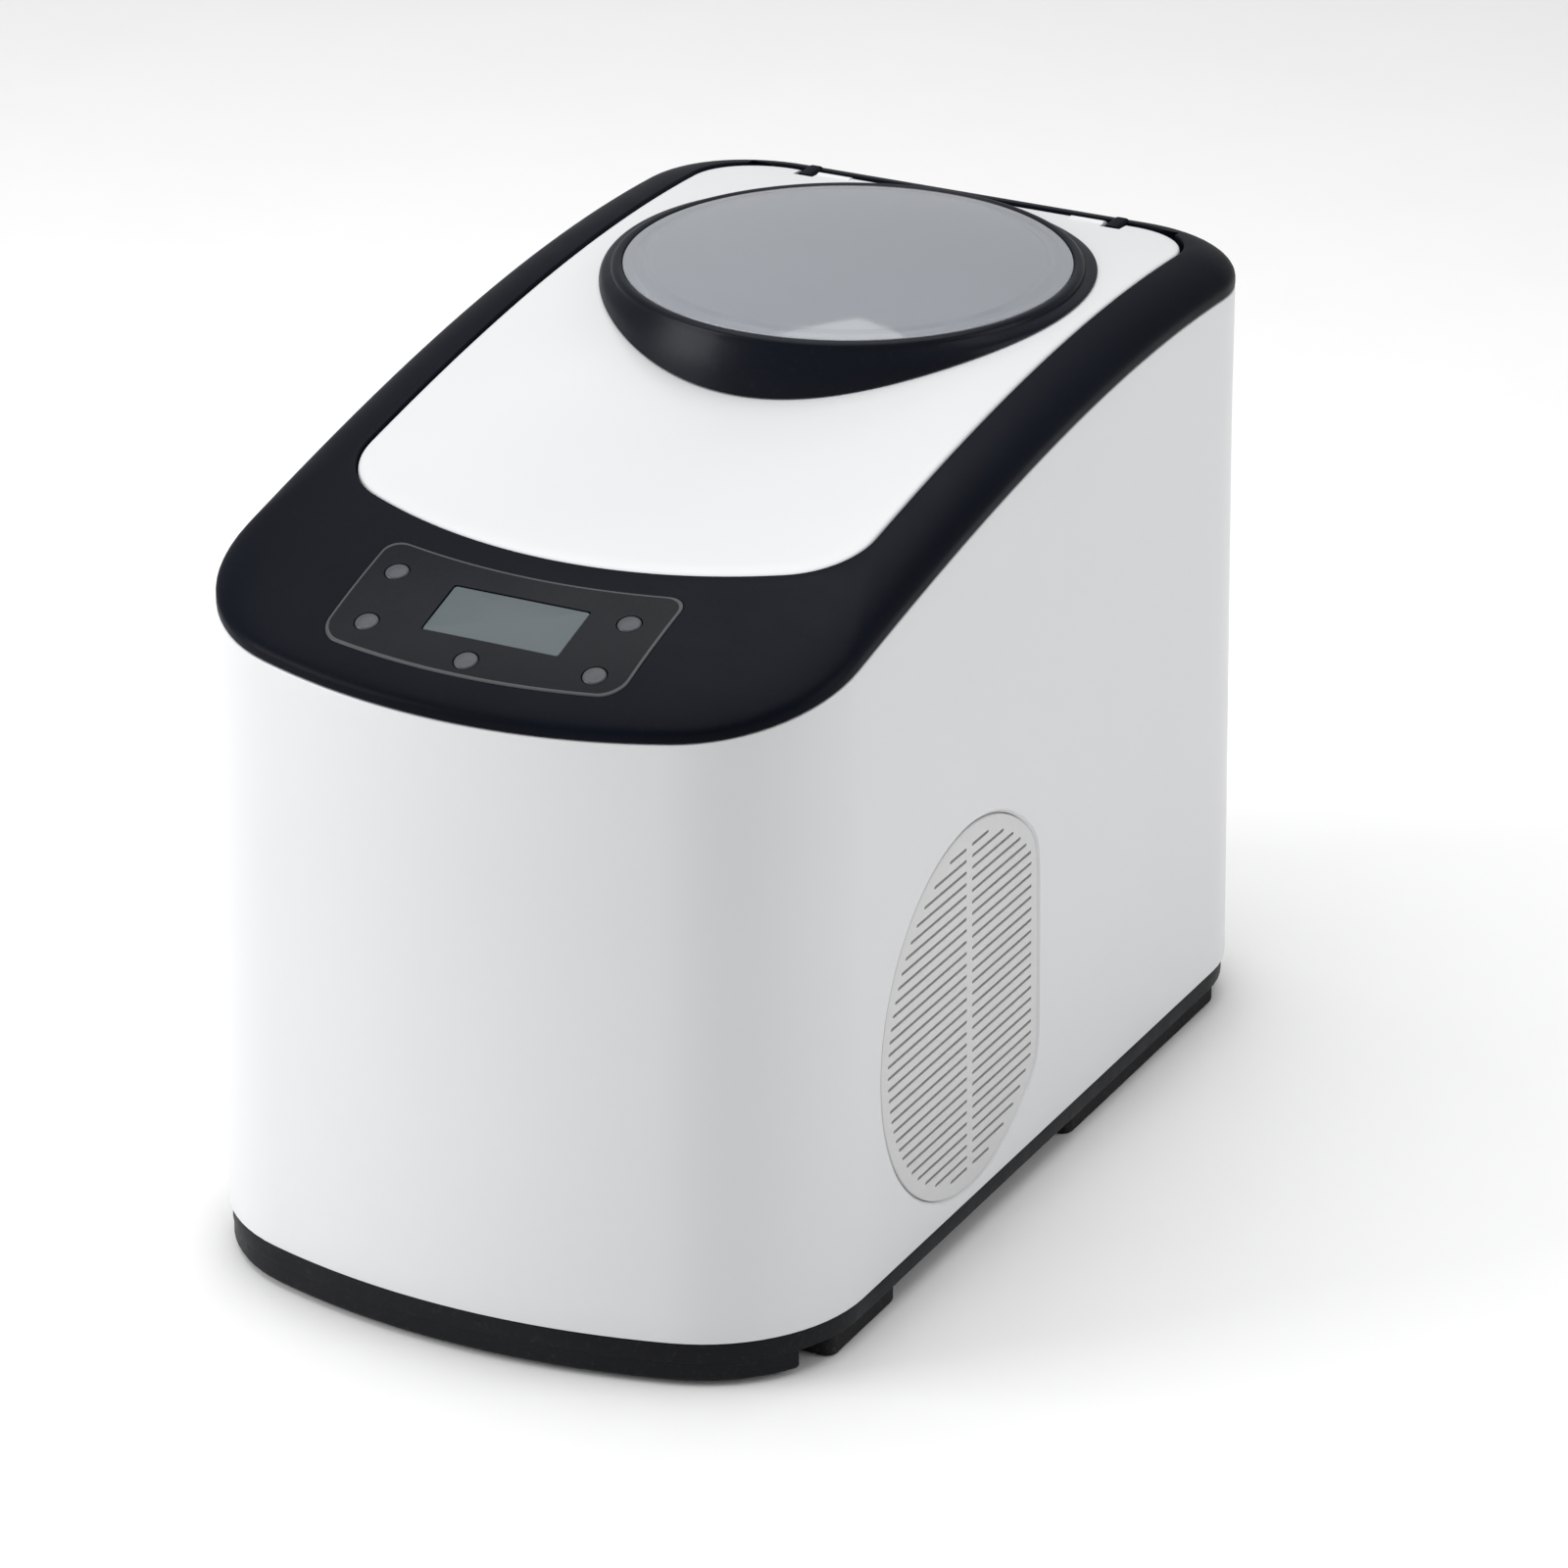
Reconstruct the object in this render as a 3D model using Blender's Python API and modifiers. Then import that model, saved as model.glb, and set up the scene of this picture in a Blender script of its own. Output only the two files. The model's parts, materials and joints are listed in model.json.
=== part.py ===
"""Bread machine: a tall white housing with a black top collar, a sloped control panel, a hinged
lid with a round window, and inside it the oven chamber, bread pan, kneading drive and motor.

Metres, +Z up, front towards -Y. The origin is on the table, under the middle of the body.
"""
import bpy
import bmesh
import numpy as np
from math import asin, atan2, cos, pi, radians, sin, sqrt
from mathutils import Matrix, Vector

# ---- driving dimensions -------------------------------------------------------------------
WIDTH = 0.250
DEPTH = 0.428
GAP = 0.0003                    # clearance between neighbouring pieces
WALL = 0.0025                   # moulded wall thickness
DRAFT = 0.003                   # how much wider each side of the body is at the bottom
DRAFT_HEIGHT = 0.244            # the height where the draft has run out

# plan outlines: half width, front and back y, front arc radius, front and back corner radii
BODY = dict(half=WIDTH / 2, front=-DEPTH / 2, back=DEPTH / 2, arc=0.279, r_front=0.062, r_back=0.050)
OPENING = dict(half=0.1035, front=-0.135, back=0.1977, arc=0.209, r_front=0.034, r_back=0.030)
LID = dict(half=0.1028, front=-0.1343, back=0.1955, arc=0.2083, r_front=0.0333, r_back=0.030)
FRONT_SPAN = 0.064              # half length of the front stretch that all outlines sample alike

PLINTH_BOTTOM = 0.0015
TRAY_BOTTOM = 0.0095
BASE_TOP = 0.0177               # seam between the base tray and the housing
TRAY_FLOOR = 0.0125
COLLAR_LIP = 0.003              # upright lip of the collar
SHOULDER = 0.0105               # rise of the collar from its lip to the lid opening
DECK_Z = 0.2455                 # top of the deck that the lid closes on

CHAMBER_Y = 0.090               # the kneading axis, and the middle of the oven chamber
CHAMBER_HALF = (0.082, 0.086)
CHAMBER_FLOOR = 0.0462
SHEET = 0.0012                  # sheet metal of the chamber

WINDOW_Y = 0.096
RING_TOP = 0.3162
RING_RADIUS = 0.0895

HINGE_Y = 0.1925
HINGE_Z = 0.3086
SWING_RELIEF = 0.0033  # radius round the hinge line that the lid's rear corners sweep
HINGE_LUG_X = 0.066

INLET_X = -0.045                # the mains inlet in the back wall
INLET_Z = 0.060

MOTOR_Y = -0.060
BELT_Z = 0.028
LARGE_PULLEY_R = 0.040
MOTOR_PULLEY_R = 0.008

GRILLE_Y = -0.0545
GRILLE_Z = 0.096
GRILLE_R = 0.0725
GRILLE_FLAT = 0.0145            # how much of the disc its rear edge loses

PANEL_X = -0.002
PANEL_HALF = 0.0605
PANEL_FRONT = 0.0126            # the fascia's front edge, behind the body's front arc
PANEL_LENGTH = 0.0540
PANEL_CORNER = 0.008
LCD_X = 0.001
LCD_Y = -0.1715
LCD_SIZE = (0.055, 0.026)
BUTTONS = {
    "button_menu": (-0.0506, -0.1580),
    "button_crust": (-0.0476, -0.1850),
    "button_timer_up": (0.0444, -0.1610),
    "button_timer_down": (0.0454, -0.1885),
    "button_start_stop": (-0.0026, -0.1940),
}

PIVOT_Z = 0.1935                # axis of the bail handle
PAN_RIM = 0.190
PAN_BOTTOM = 0.066


# ---- scene and materials ------------------------------------------------------------------
def clear_scene():
    for item in list(bpy.data.objects):
        bpy.data.objects.remove(item, do_unlink=True)


def make_collection(name):
    group = bpy.data.collections.new(name)
    bpy.context.scene.collection.children.link(group)
    return group


def material(name, colour, roughness, metallic=0.0, alpha=1.0):
    found = bpy.data.materials.get(name)
    if found:
        return found
    made = bpy.data.materials.new(name)
    made.use_nodes = True
    shader = made.node_tree.nodes["Principled BSDF"]
    shader.inputs["Base Color"].default_value = (*colour, 1.0)
    shader.inputs["Roughness"].default_value = roughness
    shader.inputs["Metallic"].default_value = metallic
    shader.inputs["Alpha"].default_value = alpha
    made.diffuse_color = (*colour, alpha)
    return made


def white_plastic():
    return material("white_plastic", (0.86, 0.86, 0.88), 0.30)


def black_plastic():
    return material("black_plastic", (0.020, 0.026, 0.032), 0.28)


def grey_plastic():
    return material("grey_plastic", (0.62, 0.62, 0.60), 0.45)


def dark_plastic():
    return material("dark_plastic", (0.05, 0.05, 0.055), 0.55)


def rubber():
    return material("rubber", (0.03, 0.03, 0.03), 0.85)


def silicone():
    return material("silicone", (0.55, 0.16, 0.10), 0.60)


def clear_glass():
    return material("clear_glass", (0.80, 0.84, 0.86), 0.05, 0.0, 0.4)


def screen_glass():
    return material("screen_glass", (0.34, 0.40, 0.42), 0.15)


def steel():
    return material("steel", (0.60, 0.60, 0.62), 0.35, 1.0)


def aluminium():
    return material("aluminium", (0.78, 0.78, 0.80), 0.40, 1.0)


def coated_pan():
    return material("coated_pan", (0.10, 0.10, 0.11), 0.45, 0.4)


def copper():
    return material("copper", (0.72, 0.36, 0.20), 0.35, 1.0)


def circuit_board():
    return material("circuit_board", (0.04, 0.22, 0.10), 0.50)


# ---- object helpers -----------------------------------------------------------------------
def add_object(name, mesh, finish, smooth=40.0):
    made = bpy.data.objects.new(name, mesh)
    if finish is None:
        made.hide_render = True
        made.display_type = "WIRE"
        CUTTERS.objects.link(made)
        return made
    mesh.materials.append(finish)
    PARTS.objects.link(made)
    if smooth and len(mesh.polygons):
        mesh.shade_smooth()
        mesh.set_sharp_from_angle(angle=radians(smooth))
    return made


def mesh_from(name, build):
    shape = bmesh.new()
    build(shape)
    mesh = bpy.data.meshes.new(name)
    shape.to_mesh(mesh)
    shape.free()
    return mesh


def block(name, size, centre, finish=None, turn=None, bevel=0.0):
    """A box, turned by a rotation matrix if one is given."""
    def build(shape):
        bmesh.ops.create_cube(shape, size=1.0, matrix=Matrix.Diagonal((*size, 1.0)))
    made = add_object(name, mesh_from(name, build), finish)
    made.location = centre
    if turn is not None:
        made.rotation_euler = turn.to_euler()
    if bevel:
        add_bevel(made, bevel)
    return made


def cylinder(name, radius, length, centre, finish=None, axis="Z", segments=32, turn=None):
    def build(shape):
        bmesh.ops.create_cone(shape, cap_ends=True, segments=segments, radius1=radius,
                              radius2=radius, depth=length)
    made = add_object(name, mesh_from(name, build), finish)
    made.location = centre
    if axis == "X":
        made.rotation_euler = (0, pi / 2, 0)
    if axis == "Y":
        made.rotation_euler = (pi / 2, 0, 0)
    if turn is not None:
        made.rotation_euler = turn.to_euler()
    return made


def turned(name, profile, centre, finish=None, segments=32, ring=False, turn=None):
    """A profile of (radius, height) points, outer side top to bottom, spun about its axis."""
    mesh = bpy.data.meshes.new(name)
    points = [(radius, 0.0, height) for radius, height in profile]
    count = len(points)
    edges = [(i, (i + 1) % count) for i in range(count if ring else count - 1)]
    mesh.from_pydata(points, edges, [])
    made = add_object(name, mesh, finish)
    made.location = centre
    if turn is not None:
        made.rotation_euler = turn.to_euler()
    spin = made.modifiers.new("spin", "SCREW")
    spin.axis = "Z"
    spin.steps = segments
    spin.render_steps = segments
    spin.use_merge_vertices = True
    spin.merge_threshold = 0.00001
    return made


def lofted(name, loops, finish=None, ring=False, smooth=40.0):
    """A skin over matching closed loops: a ring closes on itself, otherwise the ends are capped."""
    def build(shape):
        rows = [[shape.verts.new(point) for point in loop] for loop in loops]
        count = len(rows[0])
        pairs = list(zip(rows, rows[1:]))
        if ring:
            pairs.append((rows[-1], rows[0]))
        else:
            shape.faces.new(rows[0])
            shape.faces.new(rows[-1])
        for lower, upper in pairs:
            for i in range(count):
                j = (i + 1) % count
                shape.faces.new((lower[i], lower[j], upper[j], upper[i]))
        bmesh.ops.recalc_face_normals(shape, faces=shape.faces)
    return add_object(name, mesh_from(name, build), finish, smooth)


def slab(name, top, bottom, finish=None):
    """A closed sheet between two matching grids of points."""
    def build(shape):
        upper = [[shape.verts.new(point) for point in row] for row in top]
        lower = [[shape.verts.new(point) for point in row] for row in bottom]
        rows, columns = len(top), len(top[0])
        for i in range(rows - 1):
            for j in range(columns - 1):
                for grid in (upper, lower):
                    shape.faces.new((grid[i][j], grid[i][j + 1], grid[i + 1][j + 1], grid[i + 1][j]))
        rim = [(0, j) for j in range(columns)]
        rim += [(i, columns - 1) for i in range(1, rows)]
        rim += [(rows - 1, j) for j in range(columns - 2, -1, -1)]
        rim += [(i, 0) for i in range(rows - 2, 0, -1)]
        for (i, j), (k, m) in zip(rim, rim[1:] + rim[:1]):
            shape.faces.new((upper[i][j], upper[k][m], lower[k][m], lower[i][j]))
        bmesh.ops.recalc_face_normals(shape, faces=shape.faces)
    return add_object(name, mesh_from(name, build), finish)


def tube(name, points, radius, finish, closed=False):
    """A round bar along a path, as a curve with its ends filled."""
    curve = bpy.data.curves.new(name, "CURVE")
    curve.dimensions = "3D"
    curve.bevel_depth = radius
    curve.bevel_resolution = 2
    curve.use_fill_caps = True
    spline = curve.splines.new("POLY")
    spline.points.add(len(points) - 1)
    for target, point in zip(spline.points, points):
        target.co = (*point, 1.0)
    spline.use_cyclic_u = closed
    curve.materials.append(finish)
    made = bpy.data.objects.new(name, curve)
    PARTS.objects.link(made)
    return made


def rounded_path(corners, radius, steps=4):
    """The path through the corners, with each inner corner replaced by an arc."""
    path = [Vector(corners[0])]
    for before, corner, after in zip(corners, corners[1:], corners[2:]):
        corner = Vector(corner)
        back = (Vector(before) - corner).normalized()
        ahead = (Vector(after) - corner).normalized()
        half_angle = back.angle(ahead) / 2
        reach = radius / np.tan(half_angle)
        centre = corner + (back + ahead).normalized() * radius / sin(half_angle)
        start = corner + back * reach - centre
        end = corner + ahead * reach - centre
        sweep = start.angle(end)
        for i in range(steps + 1):
            blend = i / steps
            arm = (start * sin((1 - blend) * sweep) + end * sin(blend * sweep)) / sin(sweep)
            path.append(centre + arm)
    path.append(Vector(corners[-1]))
    return path


def add_bevel(made, width, segments=1):
    bevel = made.modifiers.new("bevel", "BEVEL")
    bevel.width = width
    bevel.segments = segments
    bevel.limit_method = "ANGLE"
    bevel.angle_limit = radians(50)


def combine(made, other, operation="DIFFERENCE"):
    join = made.modifiers.new(operation.lower(), "BOOLEAN")
    join.operation = operation
    join.solver = "EXACT"
    join.object = other


def cut(made, *cutters):
    for cutter in cutters:
        combine(made, cutter)


def join(made, *others):
    for other in others:
        combine(made, other, "UNION")


# ---- outlines and surfaces ----------------------------------------------------------------
def front_arc(shape, x):
    return shape["front"] + shape["arc"] - sqrt(shape["arc"] ** 2 - x * x)


def draft_at(z):
    """How far the body's sides stand out at a height, beyond their plan at the top."""
    return DRAFT * min(max(1 - z / DRAFT_HEIGHT, 0.0), 1.0)


def body_section(z, inset=0.0):
    return level(plan_outline(BODY, inset - draft_at(z)), z)


def plan_outline(shape, inset=0.0):
    """Plan points, anticlockwise from the front centre, of an outline moved in by inset."""
    half = shape["half"] - inset
    front = shape["front"] + inset
    back = shape["back"] - inset
    arc = shape["arc"] - inset
    r_front = shape["r_front"] - inset
    r_back = shape["r_back"] - inset
    right = [(x, front + arc - sqrt(arc * arc - x * x)) for x in np.linspace(0, FRONT_SPAN, 6)]
    corner_x = half - r_front
    corner_y = front + arc - sqrt((arc - r_front) ** 2 - corner_x ** 2)
    start = -pi / 2 + asin(corner_x / (arc - r_front))
    for angle in np.linspace(start, 0, 6):
        right.append((corner_x + r_front * cos(angle), corner_y + r_front * sin(angle)))
    for y in np.linspace(corner_y, back - r_back, 7)[1:]:
        right.append((half, y))
    for angle in np.linspace(0, pi / 2, 6)[1:]:
        right.append((half - r_back + r_back * cos(angle), back - r_back + r_back * sin(angle)))
    right.append((0.0, back))
    left = [(-x, y) for x, y in right[-2:0:-1]]
    return np.array(right + left)


def edge_height(y):
    """The seam between the housing and the collar: a swoop that peaks near the back."""
    t = (y - BODY["front"]) / DEPTH
    return WIDTH * (0.987 + 0.411 * t - 0.039 * t * t - 0.179 * t ** 3)


def shoulder_rise(fraction):
    """A quarter ellipse from the collar's outer lip to the lid opening."""
    return COLLAR_LIP + SHOULDER * np.sqrt(1 - (1 - fraction) ** 2)


def panel_height(x, y):
    """The collar's top surface over its front stretch."""
    outer = front_arc(BODY, x)
    fraction = (y - outer) / (front_arc(OPENING, x) - outer)
    return edge_height(y) + float(shoulder_rise(min(max(fraction, 0.0), 1.0)))


def panel_turn(x, y):
    """The rotation that lays +Z on the collar's outward normal, keeping X level."""
    step = 0.004
    slope_x = (panel_height(x + step, y) - panel_height(x - step, y)) / (2 * step)
    slope_y = (panel_height(x, y + step) - panel_height(x, y - step)) / (2 * step)
    normal = Vector((-slope_x, -slope_y, 1.0)).normalized()
    side = Vector((1.0, 0.0, slope_x)).normalized()
    return Matrix((side, normal.cross(side), normal)).transposed()


def lid_height(x, y):
    """The lid's top surface: flush with the collar, with a shallow scoop ahead of the window."""
    scoop = np.clip(1 - (x / 0.098) ** 2, 0, 1) ** 2 * np.clip(1 - ((y - 0.010) / 0.150) ** 2, 0, 1) ** 2
    return edge_height(y) + COLLAR_LIP + SHOULDER - 0.0004 - 0.010 * scoop


def level(plan, z):
    return [(x, y, z) for x, y in plan]


def over_edge(plan, rise):
    return [(x, y, edge_height(y) + rise) for x, y in plan]


def over_lid(plan, rise=0.0):
    return [(x, y, lid_height(x, y) + rise) for x, y in plan]


def circle_towards(plan, centre, radius):
    """The point of a circle that lies towards each point of a plan outline."""
    away = plan - np.array(centre)
    return np.array(centre) + radius * away / np.linalg.norm(away, axis=1)[:, None]


def rounded_rectangle(half_x, half_y, radius, centre_y=0.0, steps=4):
    points = []
    for quarter, (side_x, side_y) in enumerate(((1, 1), (-1, 1), (-1, -1), (1, -1))):
        for angle in np.linspace(0, pi / 2, steps + 1) + quarter * pi / 2:
            points.append((side_x * (half_x - radius) + radius * cos(angle),
                           centre_y + side_y * (half_y - radius) + radius * sin(angle)))
    return np.array(points)


# ---- base ---------------------------------------------------------------------------------
def make_base():
    flush, upstand, inner = 0.0015, WALL + 0.0004, WALL + 0.0030
    upstand_top = BASE_TOP + 0.010
    tray = lofted("base_tray", [body_section(TRAY_BOTTOM, flush), body_section(BASE_TOP, flush),
                                body_section(BASE_TOP, upstand), body_section(upstand_top, upstand),
                                body_section(upstand_top, inner), body_section(TRAY_FLOOR, inner)],
                  black_plastic())
    plinth = lofted("plinth_form", [body_section(PLINTH_BOTTOM, flush + 0.0020),
                                    body_section(PLINTH_BOTTOM + 0.0020, flush + 0.0003),
                                    body_section(TRAY_BOTTOM + 0.0010, flush + 0.0003)])
    behind = block("plinth_end", (0.30, 0.50, 0.03), (0, -0.174 + 0.25, 0.005))
    cut(plinth, behind)
    join(tray, plinth)
    feet = {
        "foot_front": (-0.1330, 0.052),
        "foot_rear": (0.1080, 0.136),
    }
    foot_x, foot_width, screw_reach = 0.1125, 0.022, 0.0205
    number = 0
    for label, (y, length) in feet.items():
        for side, word in ((-1, "left"), (1, "right")):
            number += 1
            centre = (side * foot_x, y, (TRAY_BOTTOM - GAP) / 2)
            foot = block(f"{label}_{word}", (foot_width, length, TRAY_BOTTOM - GAP), centre, rubber(),
                         bevel=0.0025)
            spot = (side * foot_x, y)
            sink = cylinder(f"screw_sink_{number}", 0.0046, 0.010, (*spot, 0.0012), segments=16)
            drill = cylinder(f"screw_drill_{number}", 0.0022, 0.040, (*spot, 0.010), segments=12)
            cut(foot, sink, drill)
            cut(tray, drill)
            screw = [(0, screw_reach), (0.0012, screw_reach), (0.0018, screw_reach - 0.002), (0.0018, 0.0058),
                     (0.0040, 0.0058), (0.0040, 0.0036), (0.0030, 0.0030), (0, 0.0030)]
            turned(f"base_screw_{number}", screw, (*spot, 0), steel(), segments=12)


# ---- housing, grilles and collar -----------------------------------------------------------
def side_disc(name, radius, side, depth, thickness, finish=None):
    """A round disc lying in a side wall, depth below its face, with its rear edge cut flat."""
    lean = atan2(DRAFT, DRAFT_HEIGHT)
    x = side * (WIDTH / 2 + draft_at(GRILLE_Z) - depth)
    disc = cylinder(name, radius, thickness, (x, GRILLE_Y, GRILLE_Z), finish, segments=48)
    disc.rotation_euler = (0, pi / 2 - side * lean, 0)
    flat_y = GRILLE_Y + radius + 0.020 - GRILLE_FLAT
    flat = block(name + "_flat", (0.05, 0.04, 0.20), (x, flat_y, GRILLE_Z))
    cut(disc, flat)
    return disc


def make_housing():
    outer = plan_outline(BODY)
    inner = plan_outline(BODY, WALL)
    bottom = BASE_TOP + GAP
    housing = lofted("housing", [body_section(bottom), body_section(DRAFT_HEIGHT),
                                 over_edge(outer, -GAP), over_edge(inner, -GAP),
                                 body_section(DRAFT_HEIGHT, WALL), body_section(bottom, WALL)],
                     white_plastic(), ring=True)
    rim, slot_pitch, slot_height = 0.006, 0.0140, 0.0055
    divider = GRILLE_Y
    for side, word in ((-1, "left"), (1, "right")):
        wall = side * (WIDTH / 2 + draft_at(GRILLE_Z))
        cut(housing, side_disc(f"grille_hole_{word}", GRILLE_R, side, 0.0, 0.016))
        grille = side_disc(f"grille_{word}", GRILLE_R - GAP, side, 0.0016, 0.0024, grey_plastic())
        for row in range(-4, 5):
            z = GRILLE_Z + row * slot_pitch
            reach = sqrt((GRILLE_R - rim) ** 2 - (abs(row) * slot_pitch + slot_height / 2) ** 2)
            rear = GRILLE_Y + min(reach, GRILLE_R - GRILLE_FLAT - rim)
            spans = ((GRILLE_Y - reach, divider - 0.0025), (divider + 0.0025, rear))
            for half, (y0, y1) in enumerate(spans):
                if y1 - y0 < 0.008:
                    continue
                slot = block(f"slot_{word}_{row + 4}_{half}", (0.014, y1 - y0, slot_height),
                             (wall, (y0 + y1) / 2, z))
                cut(grille, slot)
    inlet_hole = block("inlet_hole", (0.0306, 0.020, 0.0226), (INLET_X, BODY["back"], INLET_Z))
    cut(housing, inlet_hole)


def fascia_grid(margin, rise):
    """Points over the panel area: straight sides, arcs at the front and back, round corners."""
    half = PANEL_HALF + margin
    corner = PANEL_CORNER + margin
    bend = [half - corner + corner * sin(a) for a in np.linspace(0, pi / 2, 4)]
    columns = [-x for x in reversed(bend)] + list(np.linspace(-bend[0], bend[0], 8)[1:-1]) + bend
    grid = []
    for x in columns:
        over = max(abs(x) - (half - corner), 0.0)
        tuck = corner - sqrt(max(corner ** 2 - over ** 2, 0.0))
        across = x + PANEL_X
        start = front_arc(BODY, across) + PANEL_FRONT - margin + tuck
        end = front_arc(BODY, across) + PANEL_FRONT + PANEL_LENGTH + margin - tuck
        grid.append([(across, y, panel_height(across, y) + rise) for y in np.linspace(start, end, 6)])
    return grid


def make_collar():
    outer = plan_outline(BODY)
    opening = plan_outline(OPENING)
    under_outer = plan_outline(BODY, 0.0028)
    under_opening = plan_outline(OPENING, -WALL)
    skin = 0.0028
    loops = [over_edge(outer, 0.0), over_edge(outer, COLLAR_LIP)]
    for angle in np.linspace(0, pi / 2, 7)[1:]:
        fraction = 1 - cos(angle)
        loops.append(over_edge(outer + (opening - outer) * fraction, float(shoulder_rise(fraction))))
    loops.append(over_edge(opening, -0.001))
    loops.append(over_edge(under_opening, -0.001))
    for angle in np.linspace(pi / 2, pi / 9, 4):
        fraction = 1 - cos(angle)
        plan = under_outer + (under_opening - under_outer) * fraction
        loops.append(over_edge(plan, float(shoulder_rise(fraction)) - skin))
    loops.append(over_edge(under_outer, 0.0))
    collar = lofted("top_collar", loops, black_plastic(), ring=True, smooth=30)
    for side, word in ((-1, "left"), (1, "right")):
        lug = block(f"hinge_lug_{word}", (0.0062, 0.0107, 0.0048), (side * HINGE_LUG_X, 0.19415, HINGE_Z))
        join(collar, lug)
        cut(collar, hinge_bore(side, word, "lug"))
        relief = cylinder(f"swing_relief_{word}", SWING_RELIEF, 0.0110, (side * 0.0865, HINGE_Y, HINGE_Z),
                          axis="X", segments=24)
        cut(collar, relief)
    recess = slab("fascia_recess", fascia_grid(GAP, 0.006), fascia_grid(GAP, -0.0018))
    ledge = 0.003
    window_size = (LCD_SIZE[0] - 2 * ledge, LCD_SIZE[1] - 2 * ledge, 0.030)
    window = block("lcd_hole", window_size, lcd_centre(), turn=lcd_turn())
    cut(collar, recess, window)
    for name, spot in BUTTONS.items():
        cut(collar, button_hole(name, spot, "collar"))


def hinge_bore(side, word, label):
    return cylinder(f"{label}_bore_{word}", 0.0013, 0.026, (side * 0.0605, HINGE_Y, HINGE_Z), axis="X",
                    segments=20)


# ---- control panel -------------------------------------------------------------------------
def lcd_centre(depth=0.0):
    x, y = LCD_X, LCD_Y
    return Vector((x, y, panel_height(x, y))) + lcd_turn() @ Vector((0, 0, -depth))


def lcd_turn():
    return panel_turn(LCD_X, LCD_Y)


def button_hole(name, spot, label):
    place = Vector((*spot, panel_height(*spot)))
    return cylinder(f"{label}_hole_{name}", 0.0048, 0.016, place, segments=24, turn=panel_turn(*spot))


def make_panel():
    fascia = slab("panel_fascia", fascia_grid(0.0, 0.0002), fascia_grid(0.0, -0.0013), black_plastic())
    window = block("lens_hole", (*LCD_SIZE, 0.030), lcd_centre(), turn=lcd_turn())
    cut(fascia, window)
    lens_size = (LCD_SIZE[0] - 2 * GAP, LCD_SIZE[1] - 2 * GAP, 0.0010)
    block("lcd_lens", lens_size, lcd_centre(0.0006), screen_glass(), turn=lcd_turn())
    block("lcd_module", (0.062, 0.032, 0.0032), lcd_centre(0.0055), dark_plastic(), turn=lcd_turn(),
          bevel=0.0008)
    board = block("control_board", (0.116, 0.050, 0.0016), lcd_centre(0.0095) + Vector((0, -0.0005, 0)),
                  circuit_board(), turn=lcd_turn())
    chip = block("board_chip", (0.018, 0.018, 0.003), lcd_centre(0.0110), turn=lcd_turn())
    join(board, chip)
    for name, spot in BUTTONS.items():
        cut(fascia, button_hole(name, spot, "fascia"))
        place = Vector((*spot, panel_height(*spot)))
        turned(name, [(0, 0.0010), (0.0034, 0.0008), (0.0044, -0.0001), (0.0044, -0.0036),
                      (0.0056, -0.0036), (0.0056, -0.0046), (0, -0.0046)],
               place, grey_plastic(), segments=18, turn=panel_turn(*spot))


# ---- deck and chamber ----------------------------------------------------------------------
def make_deck():
    outside = plan_outline(OPENING, -WALL)
    inside = plan_outline(OPENING)
    bottom = DECK_Z - WALL
    deck = lofted("inner_deck", [level(outside, bottom), over_edge(outside, -0.001 - GAP),
                                 over_edge(inside, -0.001 - GAP), level(inside, DECK_Z)], dark_plastic())
    mouth = lofted("deck_mouth", [level(rounded_rectangle(*CHAMBER_HALF, 0.024, CHAMBER_Y), z)
                                  for z in (bottom - 0.01, DECK_Z + 0.01)])
    cut(deck, mouth)


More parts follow.
